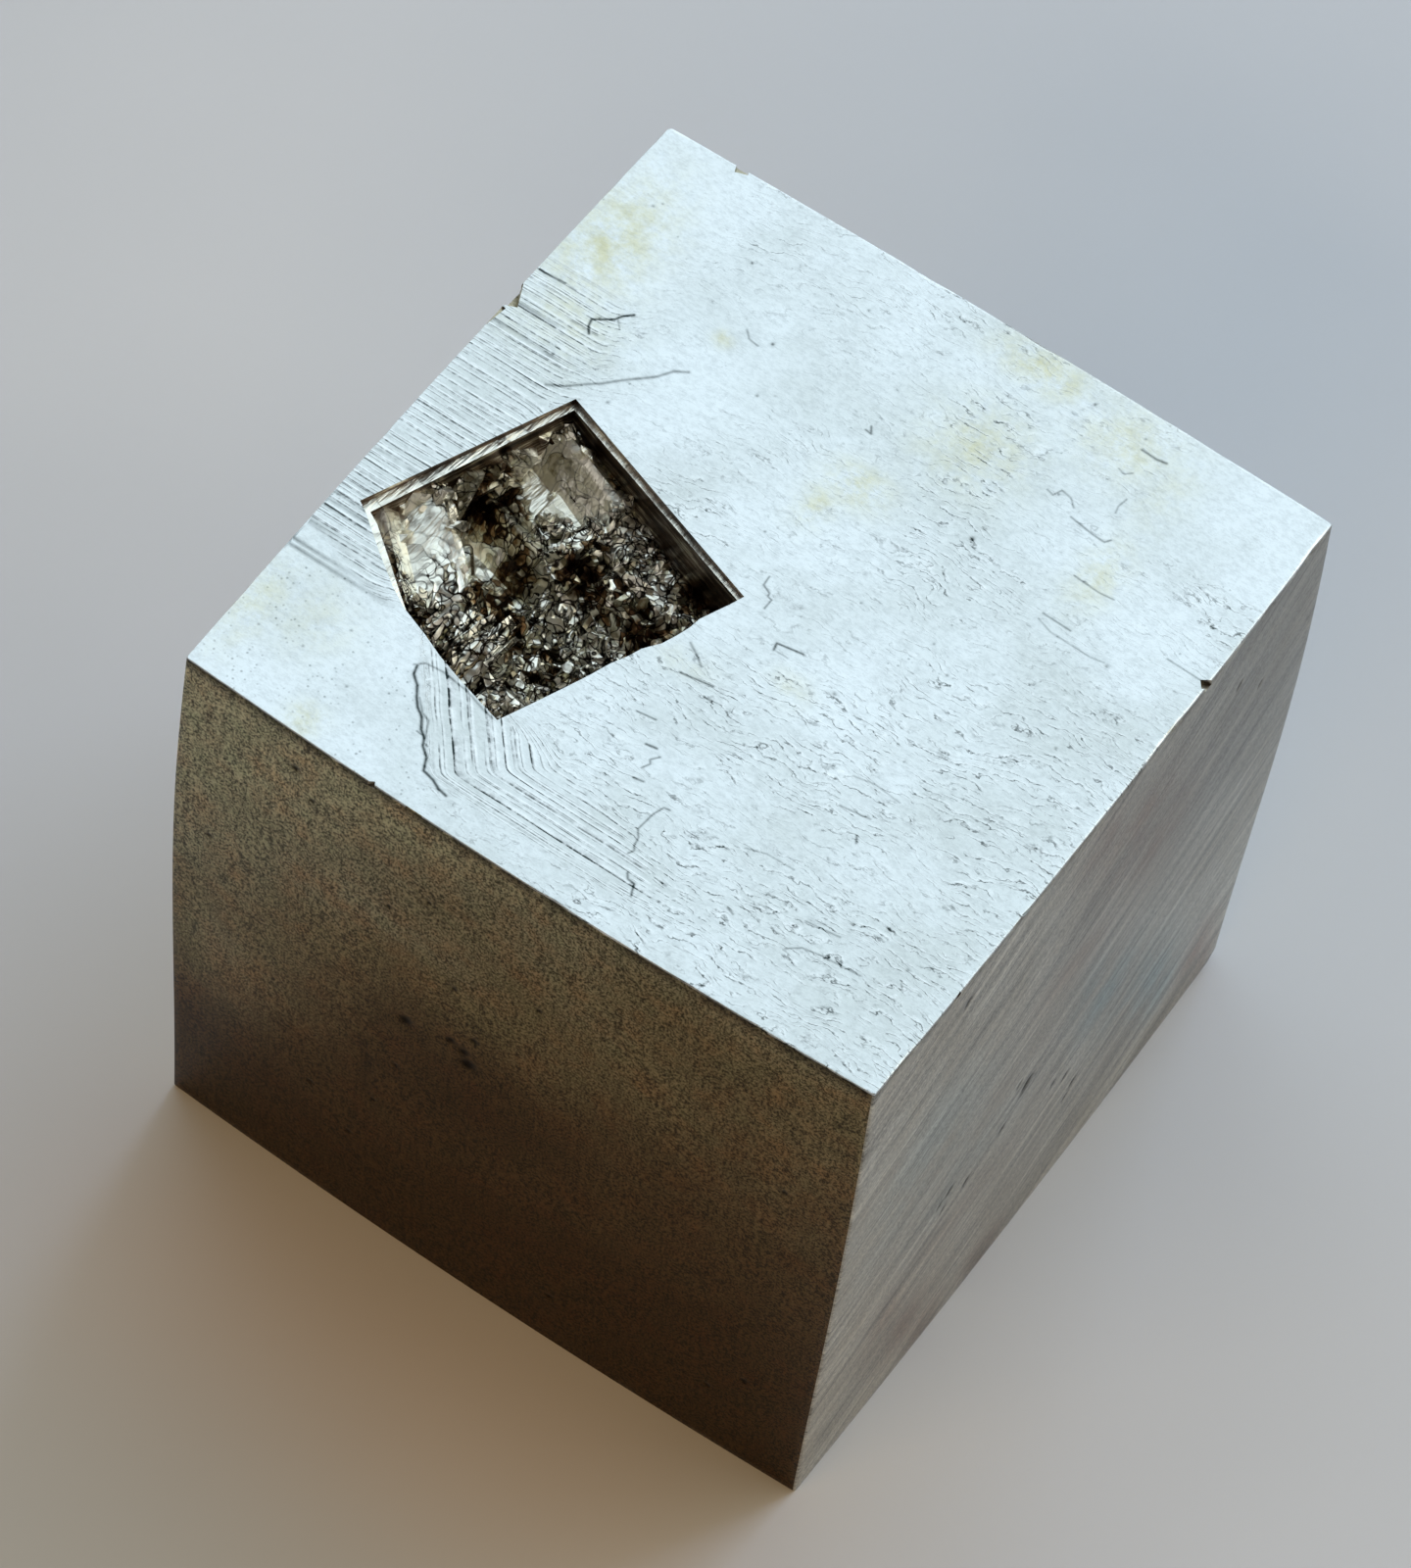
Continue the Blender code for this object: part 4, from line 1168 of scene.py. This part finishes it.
def dressCrystal(crystal):
    finishes = {
        "bright": brightGrowthFace(),
        "brown": brownTarnishedFace(),
        "grey": greyStreakedFace(),
        "satinUpright": satinBrassFace("pyriteSatinUpright", 2),
        "fracture": fracturedSocket(),
        "wall": smoothSocketWall(),
        "satinLevel": satinBrassFace("pyriteSatinLevel", 1),
    }
    crystal.data.materials.clear()
    for material in finishes.values():
        crystal.data.materials.append(material)
    order = list(finishes)
    outline = [corner for corner, _ in mouth]
    outline.append(outline[0])
    shape = bmesh.new()
    shape.from_mesh(crystal.data)
    for face in shape.faces:
        finish = finishAt(face.calc_center_median() / mm, face.normal, outline)
        face.material_index = order.index(finish)
    shape.to_mesh(crystal.data)
    shape.free()


def dropLooseCrumbs(crystal):
    # splinters that the cuts left hanging free in the socket
    selectFaces(crystal, lambda face: face.normal.z < -0.99 and face.calc_center_median().z < mm)
    bpy.ops.mesh.select_linked()
    bpy.ops.mesh.select_all(action="INVERT")
    bpy.ops.mesh.delete(type="VERT")
    bpy.ops.object.mode_set(mode="OBJECT")


def makeCrystal():
    crystal = makeBlock()
    print("block divided:", len(crystal.data.polygons), "faces")
    carveBlock(crystal)
    print("growth relief carved")
    well = makeSocketCutter()
    ledge = mouthPrism("rimLedge", 0, socket["ledgeDepth"])
    cutAway(crystal, [well, ledge] + makeChips())
    dropLooseCrumbs(crystal)
    print("socket and chips cut:", len(crystal.data.polygons), "faces")
    dressCrystal(crystal)
    markTones(crystal)
    makeActive(crystal)
    bpy.ops.object.shade_smooth_by_angle(angle=radians(24))
    return crystal


# Floor, light and camera

studio = {
    "floorColour": "#cfcecd",
    "worldColour": "#3c3630",
    # name: (place, target, size, power, colour, what it lights). A cool window behind, a warm room in front
    "lamps": {
        "backSoftbox": ((-0.150, 0.325, 0.540), (0, 0, 0.03), (0.9, 0.75), 2.6, "#e2f5ff", "all"),
        "rightBackSoftbox": ((0.50, 0.40, 0.50), (0, 0, 0), (0.85, 0.8), 1.9, "#fffae2", "all"),
        "farWindow": ((0.10, 0.75, 0.35), (0, 0, 0), (0.7, 0.4), 5.9, "#c4dbff", "floor"),
        "farCard": ((0.10, 0.75, 0.35), (0, 0, 0), (1.3, 0.5), 1.5, "#e8f2ff", "metal"),
        "roomFill": ((0, -0.60, 0.35), (0, 0, 0), (0.7, 0.4), 2.2, "#ffdca4", "floor"),
        "roomCard": ((0, -0.60, 0.35), (0, 0, 0), (1.2, 0.5), 1.5, "#fffaf2", "metal"),
        "leftCard": ((-0.62, -0.10, 0.32), (0, 0, 0), (0.9, 0.5), 0.7, "#fffaf2", "metal"),
        "rightCard": ((0.62, -0.15, 0.32), (0, 0, 0), (0.9, 0.5), 0.7, "#fffaf2", "metal"),
        # the warm light that the bronze face throws on the floor at its foot
        "bronzeBounce": ((0, -0.0275, 0.008), (0, -0.0275, 0), (0.038, 0.013), 0.00016, "#ff9412", "floor"),
    },
}


view = {
    # solved from the seven corners of the cube that show. Place in mm
    "place": (84.433, -165.724, 311.899),
    "forward": (-0.24959, 0.48011, -0.84095),
    "right": (0.82031, 0.56632, 0.07985),
    "lens": 157.5,              # for a long side of 36 mm
}


def makeFloor():
    # Matt painted board: an even pale grey with only a trace of unevenness
    deselectAll()
    bpy.ops.mesh.primitive_plane_add(size=3.0)
    floor = bpy.context.object
    floor.name = "floor"
    material, shader, add, place = startMaterial(
        "mattPaleBoard", {"Roughness": 0.9, "Specular IOR Level": 0.1})
    cloud = add("TexNoise", {"Vector": place, "Scale": perSize(60), "Detail": 3})
    tint = add("ValToRGB", [cloud], ((0.3, "#c6c6c6"), (0.7, studio["floorColour"])))
    connect(shader, {"Base Color": tint})
    floor.data.materials.append(material)


def addSoftbox(name, place, target, size, power, colour):
    deselectAll()
    bpy.ops.object.light_add(type="AREA", location=place)
    lamp = bpy.context.object
    lamp.name = name
    lamp.data.shape = "RECTANGLE"
    lamp.data.size, lamp.data.size_y = size
    lamp.data.energy = power
    lamp.data.color = linear(colour)[:3]
    lamp.rotation_euler = (Vector(target) - lamp.location).to_track_quat("-Z", "Y").to_euler()
    return lamp


def lightStudio():
    world = bpy.data.worlds.new("studio")
    bpy.context.scene.world = world
    world.use_nodes = True
    world.node_tree.nodes["Background"].inputs["Color"].default_value = linear(studio["worldColour"])
    for name, (place, target, size, power, colour, lights) in studio["lamps"].items():
        lamp = addSoftbox(name, place, target, size, power, colour)
        lamp.visible_camera = False
        lamp.visible_glossy = lights != "floor"
        lamp.visible_diffuse = lights != "metal"
    bpy.context.scene.view_settings.view_transform = "Standard"


def addCamera():
    eye = bpy.data.cameras.new("photoCamera")
    camera = bpy.data.objects.new("photoCamera", eye)
    bpy.context.scene.collection.objects.link(camera)
    forward = Vector(view["forward"]).normalized()
    right = Vector(view["right"])
    right = (right - forward * right.dot(forward)).normalized()
    turn = Matrix((right, right.cross(forward), -forward)).transposed()
    camera.matrix_world = Matrix.Translation(Vector(view["place"]) * mm) @ turn.to_4x4()
    eye.lens = view["lens"]
    eye.sensor_width = 36
    eye.clip_start = 0.01
    bpy.context.scene.camera = camera


addCamera()
makeFloor()
lightStudio()
print("studio ready")
crystal = makeCrystal()
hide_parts("pyrite_cube")
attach(crystal, "root")
print("crystal triangles:", sum(len(face.vertices) - 2 for face in crystal.data.polygons))
